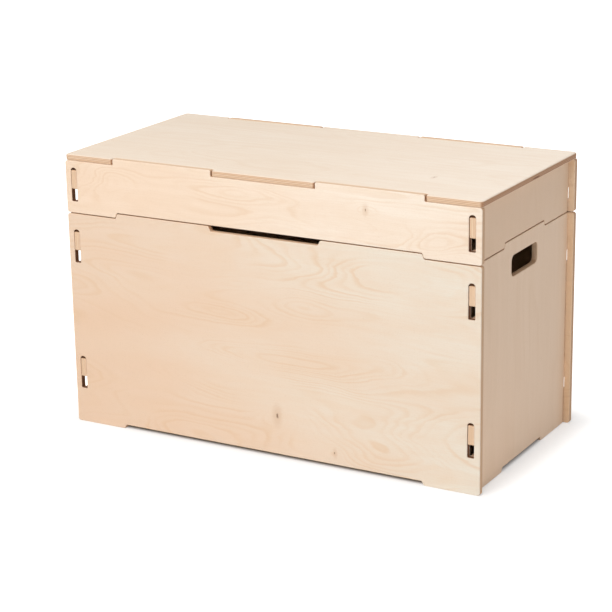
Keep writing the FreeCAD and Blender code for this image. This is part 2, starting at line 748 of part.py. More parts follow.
def hinge_leaf(label, middle, upward):
    """Leaf with its share of the knuckles; windows leave room for the other leaf's."""
    body = new_body(label, total(middle, cells("- hinge_width / 2")), total(FRONT_FACE, DEPTH))
    edge = total(HINGE_Z, cells("leaf_height" if upward else "- leaf_height"))
    low, high = (HINGE_Z, edge) if upward else (edge, HINGE_Z)
    plate = new_sketch(body, "YZ_Plane")
    draw_box(plate, ("0", low), (cells("leaf_thick"), high))
    pad(body, plate, cells("hinge_width"))
    knuckle = new_sketch(body, "YZ_Plane")
    axis_line = [(cells("knuckle_radius"), HINGE_Z)]
    draw_circles(knuckle, axis_line, cells("knuckle_radius"))
    pad(body, knuckle, cells("hinge_width"))
    cut = new_sketch(body, "XZ_Plane")
    reach = cells("knuckle_radius + body_gap")
    for window in range(0 if upward else 1, KNUCKLES, 2):
        start = cells(f"hinge_width * {window} / {KNUCKLES}")
        end = cells(f"hinge_width * {window + 1} / {KNUCKLES}")
        if window > 0:
            start = total(start, cells("- body_gap / 2"))
        if window < KNUCKLES - 1:
            end = total(end, cells("body_gap / 2"))
        draw_box(cut, (start, minus(HINGE_Z, reach)), (end, total(HINGE_Z, reach)))
    pocket(body, cut)
    bore = new_sketch(body, "YZ_Plane")
    draw_circles(bore, axis_line, cells("hinge_pin_radius + pin_gap"))
    pocket(body, bore)
    fillet(body, across("XZ_Plane", [("0", edge), (cells("hinge_width"), edge)]), STEP)
    level = total(HINGE_Z, cells("screw_reach" if upward else "- screw_reach"))
    holes = [(total(cells("hinge_width / 2"), x), level) for x in spread(cells("screw_pitch"), 3)]
    screw_holes(body, "XZ_Plane", holes, cells("leaf_thick"))


def make_hinges():
    for hand, middle in zip(("left", "right"), hinge_middles()):
        hinge_leaf(f"{hand}_hinge_box_leaf", middle, False)
        hinge_leaf(f"{hand}_hinge_lid_leaf", middle, True)
        start = total(middle, cells("- hinge_width / 2"))
        end = total(middle, cells("hinge_width / 2"))
        name = f"{hand}_hinge_pin"
        head = (cells("pin_head_radius"), cells("pin_head_thick"))
        pin = keep(doc.addObject("Part::MultiFuse", name), name)
        pin.Shapes = [
            rod(name + "_shank", cells("hinge_pin_radius"), cells("hinge_width"), start, HINGE_Y, HINGE_Z,
                (1, 0, 0)),
            rod(name + "_left_head", *head, minus(start, head[1]), HINGE_Y, HINGE_Z, (1, 0, 0)),
            rod(name + "_right_head", *head, end, HINGE_Y, HINGE_Z, (1, 0, 0)),
        ]
    outside = total(FRONT_FACE, DEPTH, cells("leaf_thick"))
    for label, level in (("hinge_screws_box", "- screw_reach"), ("hinge_screws_lid", "screw_reach")):
        height = total(HINGE_Z, cells(level))
        spots = [(x, outside, height, (0, -1, 0)) for x in hinge_screw_places()]
        screw_group(label, spots, cells("screw_length"))


LOWER_LAYER = cells("stay_thick + stay_space")
UPPER_LAYER = cells("2 * stay_thick + 2 * stay_space")


def stay_plate(label, right, pivot, boss):
    """Plate on a side's inner face; a boss carries the arm that lies further in."""
    thick = cells("stay_thick")
    low = (minus(pivot[0], cells("plate_length / 2")), minus(pivot[1], cells("plate_height / 2")))
    body = new_body(label, side_x(right, "0"), *low)
    sketch = new_sketch(body, "YZ_Plane")
    size = (cells("plate_length"), cells("plate_height"))
    draw_box(sketch, ("0", "0"), size)
    pad(body, sketch, thick, backwards=right)
    corners = [(u, v) for u in ("0", size[0]) for v in ("0", size[1])]
    fillet(body, across("YZ_Plane", corners), cells("plate_round"))
    centre = [(cells("plate_length / 2"), cells("plate_height / 2"))]
    if boss:
        ring = new_sketch(body, "YZ_Plane")
        draw_circles(ring, centre, cells("rivet_head_radius"))
        pad(body, ring, minus(UPPER_LAYER, cells("stay_space")), backwards=right)
    bore = new_sketch(body, "YZ_Plane")
    draw_circles(bore, centre, cells("rivet_radius + pin_gap"))
    pocket(body, bore)
    screws = local(plate_spots(pivot), low[0], low[1])
    screw_holes(body, "YZ_Plane", screws, f"-({thick})" if right else thick)


def stay_arm(label, right, layer, start, end, end_gap):
    """Flat arm with round ends; it lies along the sketch and is then turned onto its two pivots."""
    body = new_body(label)
    half = cells("stay_width / 2")
    size = (cells("stay_arm + stay_width"), cells("stay_width"))
    sketch = new_sketch(body, "YZ_Plane")
    draw_box(sketch, ("0", "0"), size)
    pad(body, sketch, cells("stay_thick"), backwards=right)
    corners = [(u, v) for u in ("0", size[0]) for v in ("0", size[1])]
    fillet(body, across("YZ_Plane", corners), cells("stay_width / 2 - pin_gap"))
    for centre, gap in ((half, cells("pin_gap")), (total(half, cells("stay_arm")), end_gap)):
        bore = new_sketch(body, "YZ_Plane")
        draw_circles(bore, [(centre, half)], total(cells("rivet_radius"), gap))
        pocket(body, bore)
    pivot = FreeCAD.Vector(0, value(start[0]), value(start[1]))
    far = FreeCAD.Vector(0, value(end[0]), value(end[1]))
    angle = math.degrees(math.atan2(far.z - pivot.z, far.y - pivot.y))
    centre = FreeCAD.Vector(0, value(half), value(half))
    move = pivot - centre + FreeCAD.Vector(value(side_x(right, layer)), 0, 0)
    for axis in "xyz":
        body.setExpression(f"Placement.Base.{axis}", None)
    turn = FreeCAD.Rotation(FreeCAD.Vector(1, 0, 0), angle)
    body.Placement = FreeCAD.Placement(move, turn, centre)


def rivet(label, right, pivot, low, high, low_head):
    """Rivet through a pivot between two layers, headed at its inner end or at both."""
    inward = (-1, 0, 0) if right else (1, 0, 0)
    head = (cells("rivet_head_radius"), cells("rivet_head_thick"))
    parts = [
        rod(label + "_shank", cells("rivet_radius"), minus(high, low), side_x(right, low), *pivot, inward),
        rod(label + "_head", *head, side_x(right, high), *pivot, inward),
    ]
    if low_head:
        outer = minus(low, head[1])
        parts.append(rod(label + "_low_head", *head, side_x(right, outer), *pivot, inward))
    whole = keep(doc.addObject("Part::MultiFuse", label), label)
    whole.Shapes = parts


def make_stays():
    """Folding stays: hinge pin, both plate pivots and the elbow are the corners of a rhombus."""
    space = cells("stay_space")
    past_lower = total(UPPER_LAYER, f"-({space})", cells("pin_gap"))
    past_upper = total(UPPER_LAYER, cells("stay_thick"), space)
    for right in (False, True):
        hand = "right" if right else "left"
        stay_plate(f"{hand}_stay_box_plate", right, BOX_PIVOT, False)
        stay_plate(f"{hand}_stay_lid_plate", right, LID_PIVOT, True)
        stay_arm(f"{hand}_stay_lower_arm", right, LOWER_LAYER, BOX_PIVOT, ELBOW, cells("pin_gap"))
        stay_arm(f"{hand}_stay_upper_arm", right, UPPER_LAYER, ELBOW, LID_PIVOT, cells("body_gap"))
        rivet(f"{hand}_stay_box_rivet", right, BOX_PIVOT, "0", total(past_lower, space), False)
        rivet(f"{hand}_stay_elbow_rivet", right, ELBOW, minus(LOWER_LAYER, space), past_upper, True)
        rivet(f"{hand}_stay_lid_rivet", right, LID_PIVOT, "0", past_upper, False)
    for label, pivot in (("stay_screws_box", BOX_PIVOT), ("stay_screws_lid", LID_PIVOT)):
        spots = [
            (side_x(right, cells("stay_thick")), y, z, (1, 0, 0) if right else (-1, 0, 0))
            for right in (False, True)
            for y, z in plate_spots(pivot)
        ]
        screw_group(label, spots, cells("screw_length"))


make_broad_panels()
make_sides()
make_top()
make_bottom()
make_lid_cleats()
make_pads()
make_hinges()
make_stays()
doc.recompute()

for item in doc.Objects:
    if "Invalid" in item.State or "Error" in item.State:
        raise ValueError(f"{item.Name} failed: {item.State}")
for piece in made:
    if piece.Shape.isNull() or not piece.Shape.isValid():
        raise ValueError(f"{piece.Label} has no valid shape")

os.makedirs("parts", exist_ok=True)
for piece in made:
    piece.Shape.exportStep(f"parts/{piece.Label}.step")
    print(piece.Label, len(piece.Shape.Solids), round(piece.Shape.Volume))
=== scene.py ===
# Birch plywood toy chest: finishes, screws, rivets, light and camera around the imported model. Metres.
import bpy
import math
from mathutils import Euler, Matrix, Quaternion, Vector


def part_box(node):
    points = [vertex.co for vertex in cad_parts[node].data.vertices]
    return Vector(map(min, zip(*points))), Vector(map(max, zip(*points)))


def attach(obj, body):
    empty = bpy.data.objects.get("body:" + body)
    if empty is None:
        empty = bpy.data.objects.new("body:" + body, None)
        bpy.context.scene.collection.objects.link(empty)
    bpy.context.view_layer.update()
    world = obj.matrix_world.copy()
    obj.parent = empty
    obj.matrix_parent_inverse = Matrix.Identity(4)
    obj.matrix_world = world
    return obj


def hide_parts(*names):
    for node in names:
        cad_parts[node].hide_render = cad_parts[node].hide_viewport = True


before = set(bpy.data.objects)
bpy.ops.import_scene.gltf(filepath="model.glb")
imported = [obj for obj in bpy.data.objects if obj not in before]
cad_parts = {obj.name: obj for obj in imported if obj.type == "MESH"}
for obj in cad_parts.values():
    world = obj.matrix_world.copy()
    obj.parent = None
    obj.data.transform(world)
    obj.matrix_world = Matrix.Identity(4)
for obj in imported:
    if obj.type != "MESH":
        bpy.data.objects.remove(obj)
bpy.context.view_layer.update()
scene = bpy.context.scene


# small helpers for node trees
sheet = {"columns": 12, "across": 190, "down": 260}  # how the nodes lie in their editor


def layOut(tree, node):
    row, column = divmod(len(tree.nodes), sheet["columns"])
    node.location = (sheet["across"] * column, -sheet["down"] * row)


def feed(tree, socket, given):
    if isinstance(given, bpy.types.NodeSocket):
        tree.links.new(given, socket)
    else:
        socket.default_value = given


def addNode(tree, kind, inputs=None, **settings):
    node = tree.nodes.new("ShaderNode" + kind)
    layOut(tree, node)
    for key, setting in settings.items():
        setattr(node, key, setting)
    for key, given in (inputs or {}).items():
        feed(tree, node.inputs[key], given)
    return node


def calc(tree, operation, *terms):
    return addNode(tree, "Math", dict(enumerate(terms)), operation=operation).outputs[0]


def vectorCalc(tree, operation, *terms):
    node = addNode(tree, "VectorMath", dict(enumerate(terms)), operation=operation)
    return node.outputs["Value" if operation in ("LENGTH", "DOT_PRODUCT") else "Vector"]


def ramp(tree, given, start, end, low=0.0, high=1.0):
    # smooth step from low at start to high at end
    inputs = {"Value": given, "From Min": start, "From Max": end, "To Min": low, "To Max": high}
    return addNode(tree, "MapRange", inputs, interpolation_type="SMOOTHSTEP").outputs["Result"]


def mixColour(tree, share, first, second, mode="MIX"):
    node = addNode(tree, "Mix", {0: share, 6: first, 7: second}, data_type="RGBA", blend_type=mode)
    return node.outputs[2]


def noise(tree, place, stretch, detail=2.0, roughness=0.5):
    scaled = vectorCalc(tree, "MULTIPLY", place, stretch)
    inputs = {"Vector": scaled, "Scale": 1.0, "Detail": detail, "Roughness": roughness}
    return addNode(tree, "TexNoise", inputs)


def newGroup(name, inputs, outputs):
    tree = bpy.data.node_groups.new(name, "ShaderNodeTree")
    for label, kind, start in inputs:
        socket = tree.interface.new_socket(label, in_out="INPUT", socket_type="NodeSocket" + kind)
        socket.default_value = start
    for label, kind in outputs:
        tree.interface.new_socket(label, in_out="OUTPUT", socket_type="NodeSocket" + kind)
    return tree, tree.nodes.new("NodeGroupInput").outputs, tree.nodes.new("NodeGroupOutput").inputs


def useGroup(tree, group, inputs):
    node = tree.nodes.new("ShaderNodeGroup")
    node.node_tree = group
    layOut(tree, node)
    for key, given in inputs.items():
        feed(tree, node.inputs[key], given)
    return node.outputs


def screenColour(red, green, blue):
    # a colour as seen on a screen, 0 to 255, turned into the light values that shaders use
    values = [c / 255 for c in (red, green, blue)]
    return [c / 12.92 if c <= 0.04045 else ((c + 0.055) / 1.055) ** 2.4 for c in values] + [1.0]


def newMaterial(name):
    material = bpy.data.materials.new(name)
    material.use_nodes = True
    tree = material.node_tree
    return material, tree, tree.nodes["Principled BSDF"]


def addBump(tree, shader, height, distance, strength):
    bump = addNode(tree, "Bump", {"Strength": strength, "Distance": distance, "Height": height})
    tree.links.new(bump.outputs[0], shader.inputs["Normal"])


# shared effects, each a shader node group
def makeSwell():
    # a hill in the growth rings: it makes closed loops round its centre
    tree, given, out = newGroup(
        "Ring Swell",
        [("Place", "Vector", (0, 0, 0)), ("Centre", "Vector", (0, 0, 0)),
         ("Reach", "Vector", (0.1, 0.03, 1)), ("Rings", "Float", 4.0)],
        [("Lift", "Float")],
    )
    offset = vectorCalc(tree, "SUBTRACT", given["Place"], given["Centre"])
    scaled = vectorCalc(tree, "DIVIDE", offset, given["Reach"])
    flat = vectorCalc(tree, "MULTIPLY", scaled, (1, 1, 0))
    square = vectorCalc(tree, "DOT_PRODUCT", flat, flat)
    fall = calc(tree, "EXPONENT", calc(tree, "MULTIPLY", square, -1.0))
    feed(tree, out["Lift"], calc(tree, "MULTIPLY", fall, given["Rings"]))
    return tree


knotLook = {
    "wander": (160, 160, 0),
    "jitter": 0.003,
    "squash": (1.5, 0.75, 0),  # a knot is longer along the grain
    "core": (0.25, 1.0),  # where its dark middle and its halo start and stop to fade, in knot sizes
    "halo": (0.6, 5.0),
}


def makeKnot():
    tree, given, out = newGroup(
        "Pin Knot",
        [("Place", "Vector", (0, 0, 0)), ("Centre", "Vector", (0, 0, 0)), ("Size", "Float", 0.004)],
        [("Core", "Float"), ("Halo", "Float")],
    )
    wander = noise(tree, given["Place"], knotLook["wander"], 3).outputs["Color"]
    most = knotLook["jitter"]
    jitter = vectorCalc(tree, "MULTIPLY_ADD", wander, (2 * most, 2 * most, 0), (-most, -most, 0))
    offset = vectorCalc(tree, "ADD", vectorCalc(tree, "SUBTRACT", given["Place"], given["Centre"]), jitter)
    away = vectorCalc(tree, "LENGTH", vectorCalc(tree, "MULTIPLY", offset, knotLook["squash"]))
    share = calc(tree, "DIVIDE", away, given["Size"])
    feed(tree, out["Core"], ramp(tree, share, *knotLook["core"], 1.0, 0.0))
    feed(tree, out["Halo"], ramp(tree, share, *knotLook["halo"], 1.0, 0.0))
    return tree


bendLook = {
    "slow": (3.6, 11, 0),
    "slowReach": (0.17, 0.034, 0),
    "quick": (15, 48, 0),
    "quickReach": (0.040, 0.009, 0),
}


def centred(tree, noiseColour, reach):
    # noise from 0 to 1 turned into a shift to both sides
    return vectorCalc(tree, "MULTIPLY_ADD", noiseColour, reach, [-part / 2 for part in reach])


def makeGrainBend():
    # grain that never runs quite straight: a slow bend, and a quicker one that hooks the lines
    tree, given, out = newGroup(
        "Grain Bend",
        [("Place", "Vector", (0, 0, 0)), ("Seed", "Vector", (0, 0, 0))],
        [("Bent", "Vector")],
    )
    place = vectorCalc(tree, "ADD", given["Place"], given["Seed"])
    slow = noise(tree, place, bendLook["slow"], 1, 0.5).outputs["Color"]
    quick = noise(tree, place, bendLook["quick"], 3, 0.55).outputs["Color"]
    bend = centred(tree, slow, bendLook["slowReach"])
    hook = centred(tree, quick, bendLook["quickReach"])
    feed(tree, out["Bent"], vectorCalc(tree, "ADD", vectorCalc(tree, "ADD", given["Place"], bend), hook))
    return tree


# Noise is stretched along and across the grain. Each span is where its noise starts and stops to show.
figureLook = {
    "field": (2.2, 8.5, 1),
    "crest": 0.76,  # where a growth ring is darkest, from its start at 0 to its end at 1
    "riseFrom": 0.24,
    "faintest": 0.10,  # how faint the weakest rings are, and the rings in the plainest patches
    "patches": (4.3, 10.0, 1),
    "patchSpan": (0.40, 0.60),
    "plainest": 0.12,
    "cloud": (5.2, 15, 1),
    "cloudSpan": (0.34, 0.68),
    "broadStreak": (3.0, 90, 1),
    "fineStreak": (14, 620, 1),
    "streakSpan": (0.36, 0.64),
    "pore": (190, 2900, 1),
    "poreSpan": (0.62, 0.74),
    "tone": (1.6, 4.2, 1),
    "toneSpan": (0.32, 0.68),
}


def makeFigure():
    # rotary-cut veneer: growth rings met nearly flat, so that they show as nested loops
    tree, given, out = newGroup(
        "Veneer Figure",
        [("Place", "Vector", (0, 0, 0)), ("Bent", "Vector", (0, 0, 0)), ("Seed", "Vector", (0, 0, 0)),
         ("Rings", "Float", 30.0), ("Lift", "Float", 0.0)],
        [("Line", "Float"), ("Streak", "Float"), ("Pore", "Float"), ("Tone", "Float"), ("Cloud", "Float")],
    )
    look = figureLook
    flat = vectorCalc(tree, "MULTIPLY", given["Place"], (1, 1, 0))
    place = vectorCalc(tree, "ADD", flat, given["Seed"])
    bent = vectorCalc(tree, "ADD", vectorCalc(tree, "MULTIPLY", given["Bent"], (1, 1, 0)), given["Seed"])
    field = noise(tree, bent, look["field"], 1.5, 0.45).outputs["Fac"]
    rings = calc(tree, "MULTIPLY_ADD", field, given["Rings"], given["Lift"])
    saw = calc(tree, "FRACT", rings)
    rise = ramp(tree, saw, look["riseFrom"], look["crest"])
    line = calc(tree, "MULTIPLY", rise, ramp(tree, saw, look["crest"], 1.0, 1.0, 0.0))
    ringNumber = calc(tree, "FLOOR", rings)
    ringShare = addNode(tree, "TexWhiteNoise", {"W": ringNumber}, noise_dimensions="1D").outputs["Value"]
    strength = ramp(tree, ringShare, 0.0, 1.0, look["faintest"], 1.0)
    patches = noise(tree, place, look["patches"], 2).outputs["Fac"]
    patches = ramp(tree, patches, *look["patchSpan"], look["plainest"], 1.0)
    feed(tree, out["Line"], calc(tree, "MULTIPLY", calc(tree, "MULTIPLY", line, strength), patches))
    cloud = noise(tree, bent, look["cloud"], 3, 0.6).outputs["Fac"]
    feed(tree, out["Cloud"], ramp(tree, cloud, *look["cloudSpan"]))
    broad = noise(tree, bent, look["broadStreak"], 3, 0.6).outputs["Fac"]
    fine = noise(tree, place, look["fineStreak"], 2, 0.6).outputs["Fac"]
    both = calc(tree, "MULTIPLY_ADD", fine, 0.5, calc(tree, "MULTIPLY", broad, 0.5))
    feed(tree, out["Streak"], ramp(tree, both, *look["streakSpan"]))
    pores = noise(tree, place, look["pore"], 1, 0.5).outputs["Fac"]
    feed(tree, out["Pore"], ramp(tree, pores, *look["poreSpan"]))
    tone = noise(tree, bent, look["tone"], 2).outputs["Fac"]
    feed(tree, out["Tone"], ramp(tree, tone, *look["toneSpan"]))
    return tree


stackLook = {
    "wander": (30, 30, 30),
    "waviness": 0.00016,  # how far the layers wander in depth
    "skin": (0.90, 1.04),  # where the outer veneer gives way to the cut edge, in layers
    "endSpan": (0.35, 0.85),
    "glueSpan": (0.42, 0.49),
    "layerStep": 7.3,  # sets each layer's shading apart from the next one's
    "patch": (11, 11, 0),
    "patchSpan": (0.3, 0.7),
    "fibre": (1500, 1500, 1500),
    "fibreSpan": (0.35, 0.65),
}


def makePlyStack():
    # the cut edge of a board: thin layers whose grain runs along and across by turns, with glue between
    tree, given, out = newGroup(
        "Ply Stack",
        [("Place", "Vector", (0, 0, 0)), ("Facing", "Vector", (0, 0, 1)), ("Layer", "Float", 0.0013),
         ("Thickness", "Float", 0.012)],
        [("Inside", "Float"), ("End", "Float"), ("Glue", "Float"), ("Shade", "Float"), ("Fibre", "Float")],
    )
    look = stackLook
    wander = noise(tree, given["Place"], look["wander"], 2).outputs["Fac"]
    split = addNode(tree, "SeparateXYZ", {"Vector": given["Place"]}).outputs
    shallow = calc(tree, "SUBTRACT", split["Z"], look["waviness"] / 2)
    depth = calc(tree, "MULTIPLY_ADD", wander, look["waviness"], shallow)
    left = calc(tree, "SUBTRACT", given["Thickness"], depth)
    nearest = calc(tree, "MINIMUM", depth, left)
    skin = calc(tree, "DIVIDE", nearest, given["Layer"])
    feed(tree, out["Inside"], ramp(tree, skin, *look["skin"]))
    layers = calc(tree, "DIVIDE", depth, given["Layer"])
    number = calc(tree, "FLOOR", layers)
    turned = calc(tree, "FLOORED_MODULO", number, 2.0)
    facing = addNode(tree, "SeparateXYZ", {"Vector": given["Facing"]}).outputs
    lengthwise = calc(tree, "ABSOLUTE", facing["X"])
    crosswise = calc(tree, "ABSOLUTE", facing["Y"])
    end = calc(tree, "MULTIPLY_ADD", turned, calc(tree, "SUBTRACT", crosswise, lengthwise), lengthwise)
    layered = calc(tree, "MULTIPLY", ramp(tree, end, *look["endSpan"]), 0.5)
    whole = ramp(tree, lengthwise, *look["endSpan"])
    feed(tree, out["End"], calc(tree, "MULTIPLY_ADD", whole, 0.5, layered))
    gap = calc(tree, "ABSOLUTE", calc(tree, "SUBTRACT", calc(tree, "FRACT", layers), 0.5))
    feed(tree, out["Glue"], ramp(tree, gap, *look["glueSpan"]))
    layerSeed = addNode(tree, "TexWhiteNoise", {"W": number}, noise_dimensions="1D").outputs["Value"]
    shift = addNode(tree, "CombineXYZ", {"Z": calc(tree, "MULTIPLY", number, look["layerStep"])}).outputs[0]
    along = vectorCalc(tree, "MULTIPLY_ADD", given["Place"], look["patch"], shift)
    patch = addNode(tree, "TexNoise", {"Vector": along, "Scale": 1.0, "Detail": 3.0}).outputs["Fac"]
    patchy = calc(tree, "MULTIPLY", ramp(tree, patch, *look["patchSpan"]), 0.5)
    feed(tree, out["Shade"], calc(tree, "MULTIPLY_ADD", layerSeed, 0.5, patchy))
    dots = noise(tree, given["Place"], look["fibre"], 1).outputs["Fac"]
    feed(tree, out["Fibre"], ramp(tree, dots, *look["fibreSpan"]))
    return tree


handlingLook = {
    "patch": (38, 38, 38),
    "raggedness": 0.7,  # how far the patch's edge strays, as a share of its reach
    "fade": (0.25, 1.0),
}


def makeHandling():
    # wood that hands touch: a soft patch round a place
    tree, given, out = newGroup(
        "Handling",
        [("Place", "Vector", (0, 0, 0)), ("Centre", "Vector", (0, 0, 0)),
         ("Reach", "Vector", (0.1, 0.1, 0.1))],
        [("Touched", "Float")],
    )
    offset = vectorCalc(tree, "SUBTRACT", given["Place"], given["Centre"])
    away = vectorCalc(tree, "LENGTH", vectorCalc(tree, "DIVIDE", offset, given["Reach"]))
    patchy = noise(tree, given["Place"], handlingLook["patch"], 3).outputs["Fac"]
    stray = handlingLook["raggedness"]
    ragged = calc(tree, "MULTIPLY_ADD", patchy, stray, calc(tree, "SUBTRACT", away, stray / 2))
    feed(tree, out["Touched"], ramp(tree, ragged, *handlingLook["fade"], 1.0, 0.0))
    return tree


platingLook = {
    "scratchSpan": (0.3, 0.7),
    "cloud": (90, 90, 90),
    "cloudSpan": (0.35, 0.65),
    "scratchShare": 0.3,  # how far a scratch changes the colour, and how much duller it and a cloud are
    "scratchDull": 0.14,
    "cloudDull": 0.06,
    "bumpDistance": 0.00008,
}


def makeBrushing():
    # metal surface: long fine scratches one way, and soft clouds in the plating
    tree, given, out = newGroup(
        "Brushed Plating",
        [("Place", "Vector", (0, 0, 0)), ("Stretch", "Vector", (60, 60, 4000))],
        [("Scratch", "Float"), ("Cloud", "Float")],
    )
    scaled = vectorCalc(tree, "MULTIPLY", given["Place"], given["Stretch"])
    scratch = addNode(tree, "TexNoise", {"Vector": scaled, "Scale": 1.0, "Detail": 3.0, "Roughness": 0.65})
    feed(tree, out["Scratch"], ramp(tree, scratch.outputs["Fac"], *platingLook["scratchSpan"]))
    cloud = noise(tree, given["Place"], platingLook["cloud"], 3).outputs["Fac"]
    feed(tree, out["Cloud"], ramp(tree, cloud, *platingLook["cloudSpan"]))
    return tree


swell = makeSwell()
knot = makeKnot()
grainBend = makeGrainBend()
figure = makeFigure()
plyStack = makePlyStack()
handling = makeHandling()
brushing = makeBrushing()
print("shared effects made")


# How each face turns its board's texture: along the grain, across it, and down from the outer face.
facings = {
    "front": (math.pi / 2, 0, 0),
    "back": (-math.pi / 2, 0, 0),
    "left": (0, -math.pi / 2, 0),
    "right": (0, math.pi / 2, 0),
    "top": (math.pi, 0, 0),
}

birch = {
    "pale": screenColour(250, 232, 210),
    "warm": screenColour(244, 218, 190),
    "ring": screenColour(226, 188, 148),
    "cloud": screenColour(234, 200, 168),
    "streak": screenColour(232, 202, 170),
    "pore": screenColour(190, 154, 118),
    "knot": screenColour(112, 76, 50),
    "halo": screenColour(206, 164, 124),
    "longEdge": screenColour(243, 216, 186),
    "endEdge": screenColour(216, 178, 143),
    "edgeShade": screenColour(226, 196, 166),
    "glue": screenColour(164, 124, 92),
    # painted shade: the dark brown laid on the hook slot walls
    "slotShadeColour": screenColour(128, 88, 60),
    "handled": screenColour(226, 190, 152),
    "toneShare": 0.36,  # a board's warmth is its own tone and its drift from end to end
    "driftShare": 0.64,
    "ringShare": 0.46,
    "cloudShare": 0.28,
    "streakShare": 0.20,
    "poreShare": 0.30,
    "haloShare": 0.35,
    "knotShare": 0.8,
    "handledShare": 0.22,
    "edgeShadeShare": 0.5,
    "fibreShare": 0.08,
    "glueShare": 0.26,
    "knotSwell": (9, 5, 900),  # a knot's hill: its reach along and across, and its rings, for each size
    "voidFade": (0.6, 1.0),
    "slotSlack": 0.002,  # how far the painted shade of a slot goes past the side's thickness
    "rimClear": 0.016,  # how near the lid's parting line the painted slot shade stops
    "lineDip": 0.3,  # depths of the marks on a face and on a cut edge, beside a pore or a glue line
    "streakDip": 0.4,
    "fibreDip": 0.8,
    "roughness": 0.50,
    "streakDull": 0.08,
    "edgeDull": 0.16,
    "handledDull": -0.10,
    "specular": 0.4,
    "bumpDistance": 0.0004,
    "bumpStrength": 0.2,
    "plies": 9,
}

# Places are in the chest's frame. A swell is a place, its reach along and across the grain, and its rings.
# A drift is how warm the board's colour is at its start and at its end, from 0 for pale to 1.
boards = {
    "box_front_panel": {
        "faces": "front", "seed": (3.1, 7.7, 0), "rings": 24, "figure": 1.0, "drift": (1.0, 0.0),
        "pale": screenColour(237, 229, 214), "warm": screenColour(234, 198, 168),
        "swells": [
            ((0.22, 0, 0.365), (0.09, 0.030), 5), ((0.12, 0, 0.30), (0.09, 0.026), -4),
            ((-0.06, 0, 0.272), (0.085, 0.016), 4), ((0.05, 0, 0.19), (0.20, 0.030), 5),
            ((0.30, 0, 0.065), (0.12, 0.04), -4), ((-0.30, 0, 0.11), (0.13, 0.05), 3),
        ],
        "knots": [((0.022, 0, 0.083), 0.0048), ((0.142, 0, 0.030), 0.0022)],
        "touched": [((0, 0, 0.42), (0.16, 0.05, 0.035))],
    },
    "box_back_panel": {
        "faces": "back", "seed": (11.3, 2.9, 0), "rings": 34, "figure": 0.9, "drift": (0.3, 0.7),
        "pale": screenColour(248, 222, 192), "warm": screenColour(240, 204, 166),
        "endEdge": screenColour(198, 154, 118),
        "swells": [((0.1, 0, 0.2), (0.2, 0.05), 5), ((-0.2, 0, 0.32), (0.12, 0.03), -4)],
        "knots": [((-0.17, 0, 0.26), 0.0035)],
    },
    # painted shade: the side boards' pale and warm are browner than the birch's own, for the warm cast of
    # sides turned from the key lamp
    "box_left_side": {
        "faces": "left", "seed": (5.5, 13.1, 0), "rings": 13, "figure": 0.35, "drift": (0.5, 0.6),
        "pale": screenColour(248, 222, 197), "warm": screenColour(243, 209, 178),
        "swells": [], "knots": [], "touched": [((-0.418, 0, 0.38), (0.04, 0.085, 0.05))],
    },
    "box_right_side": {
        "faces": "right", "seed": (8.2, 4.4, 0), "rings": 11, "figure": 0.30, "drift": (0.6, 0.7),
        "pale": screenColour(248, 222, 197), "warm": screenColour(243, 209, 178),
        "swells": [], "knots": [], "touched": [((0.418, 0, 0.38), (0.04, 0.085, 0.05))],
    },
    "lid_front_panel": {
        "faces": "front", "seed": (17.9, 1.3, 0), "rings": 26, "figure": 0.8, "drift": (1.0, 0.1),
        "pale": screenColour(251, 240, 225), "warm": screenColour(245, 219, 194),
        "swells": [
            ((-0.335, 0, 0.49), (0.06, 0.03), 5), ((-0.04, 0, 0.495), (0.13, 0.018), 5),
            ((0.32, 0, 0.452), (0.06, 0.022), 5), ((0.15, 0, 0.46), (0.08, 0.02), -3),
        ],
        "knots": [((0.208, 0, 0.493), 0.0026)],
        "touched": [((0, 0, 0.425), (0.16, 0.05, 0.02))],
    },
    "lid_back_panel": {
        "faces": "back", "seed": (21.7, 6.1, 0), "rings": 26, "figure": 0.8, "drift": (0.6, 0.3),
        "pale": screenColour(248, 222, 192), "warm": screenColour(240, 204, 166),
        "endEdge": screenColour(198, 154, 118),
        "swells": [((0.2, 0, 0.47), (0.12, 0.03), 5)], "knots": [],
    },
    "lid_left_side": {
        "faces": "left", "seed": (2.6, 9.9, 0), "rings": 12, "figure": 0.35, "drift": (0.5, 0.5),
        "pale": screenColour(248, 222, 197), "warm": screenColour(243, 209, 178),
        "swells": [], "knots": [],
    },
    # painted shade: this side is darker than the left one, as it faces away from the key lamp
    "lid_right_side": {
        "faces": "right", "seed": (14.4, 3.8, 0), "rings": 11, "figure": 0.30, "drift": (0.7, 0.7),
        "pale": screenColour(244, 217, 191), "warm": screenColour(238, 203, 171),
        "swells": [], "knots": [],
    },
    "lid_top": {
        "faces": "top", "seed": (6.6, 15.2, 0), "rings": 22, "figure": 0.32, "drift": (0.4, 0.1),
        "pale": screenColour(250, 235, 217), "warm": screenColour(246, 226, 203),
        # lid_top's end grain is darker than the other boards': partly the end grain's own colour, partly
        # painted shade on its right edge, which faces away from the key lamp
        "endEdge": screenColour(180, 130, 95),
        "swells": [((0.15, 0.05, 0), (0.22, 0.06), 5), ((-0.2, -0.08, 0), (0.16, 0.05), -4)],
        "knots": [((0.28, -0.09, 0), 0.0022)], "voids": [((0.430, 0.015, 0.5245), (0.01, 0.018, 0.0011))],
    },
    "bottom_panel": {
        "faces": "top", "seed": (9.4, 19.6, 0), "rings": 36, "figure": 1.0, "drift": (0.5, 0.5), "plies": 7,
        "swells": [((-0.1, 0.05, 0), (0.2, 0.06), 6)], "knots": [((0.18, 0.04, 0), 0.005)],
    },
}


def turnedSpan(tree, place, name, turned):
    # a place counted from one corner of a board to the other, 0 to 1 along the grain
    low, high = (turned @ Vector(corner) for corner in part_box(name))
    start = Vector([min(pair) for pair in zip(low, high)])
    end = Vector([max(pair) for pair in zip(low, high)])
    return addNode(tree, "Mapping", {"Vector": place, "Location": start, "Scale": end - start},
                   vector_type="TEXTURE").outputs[0]


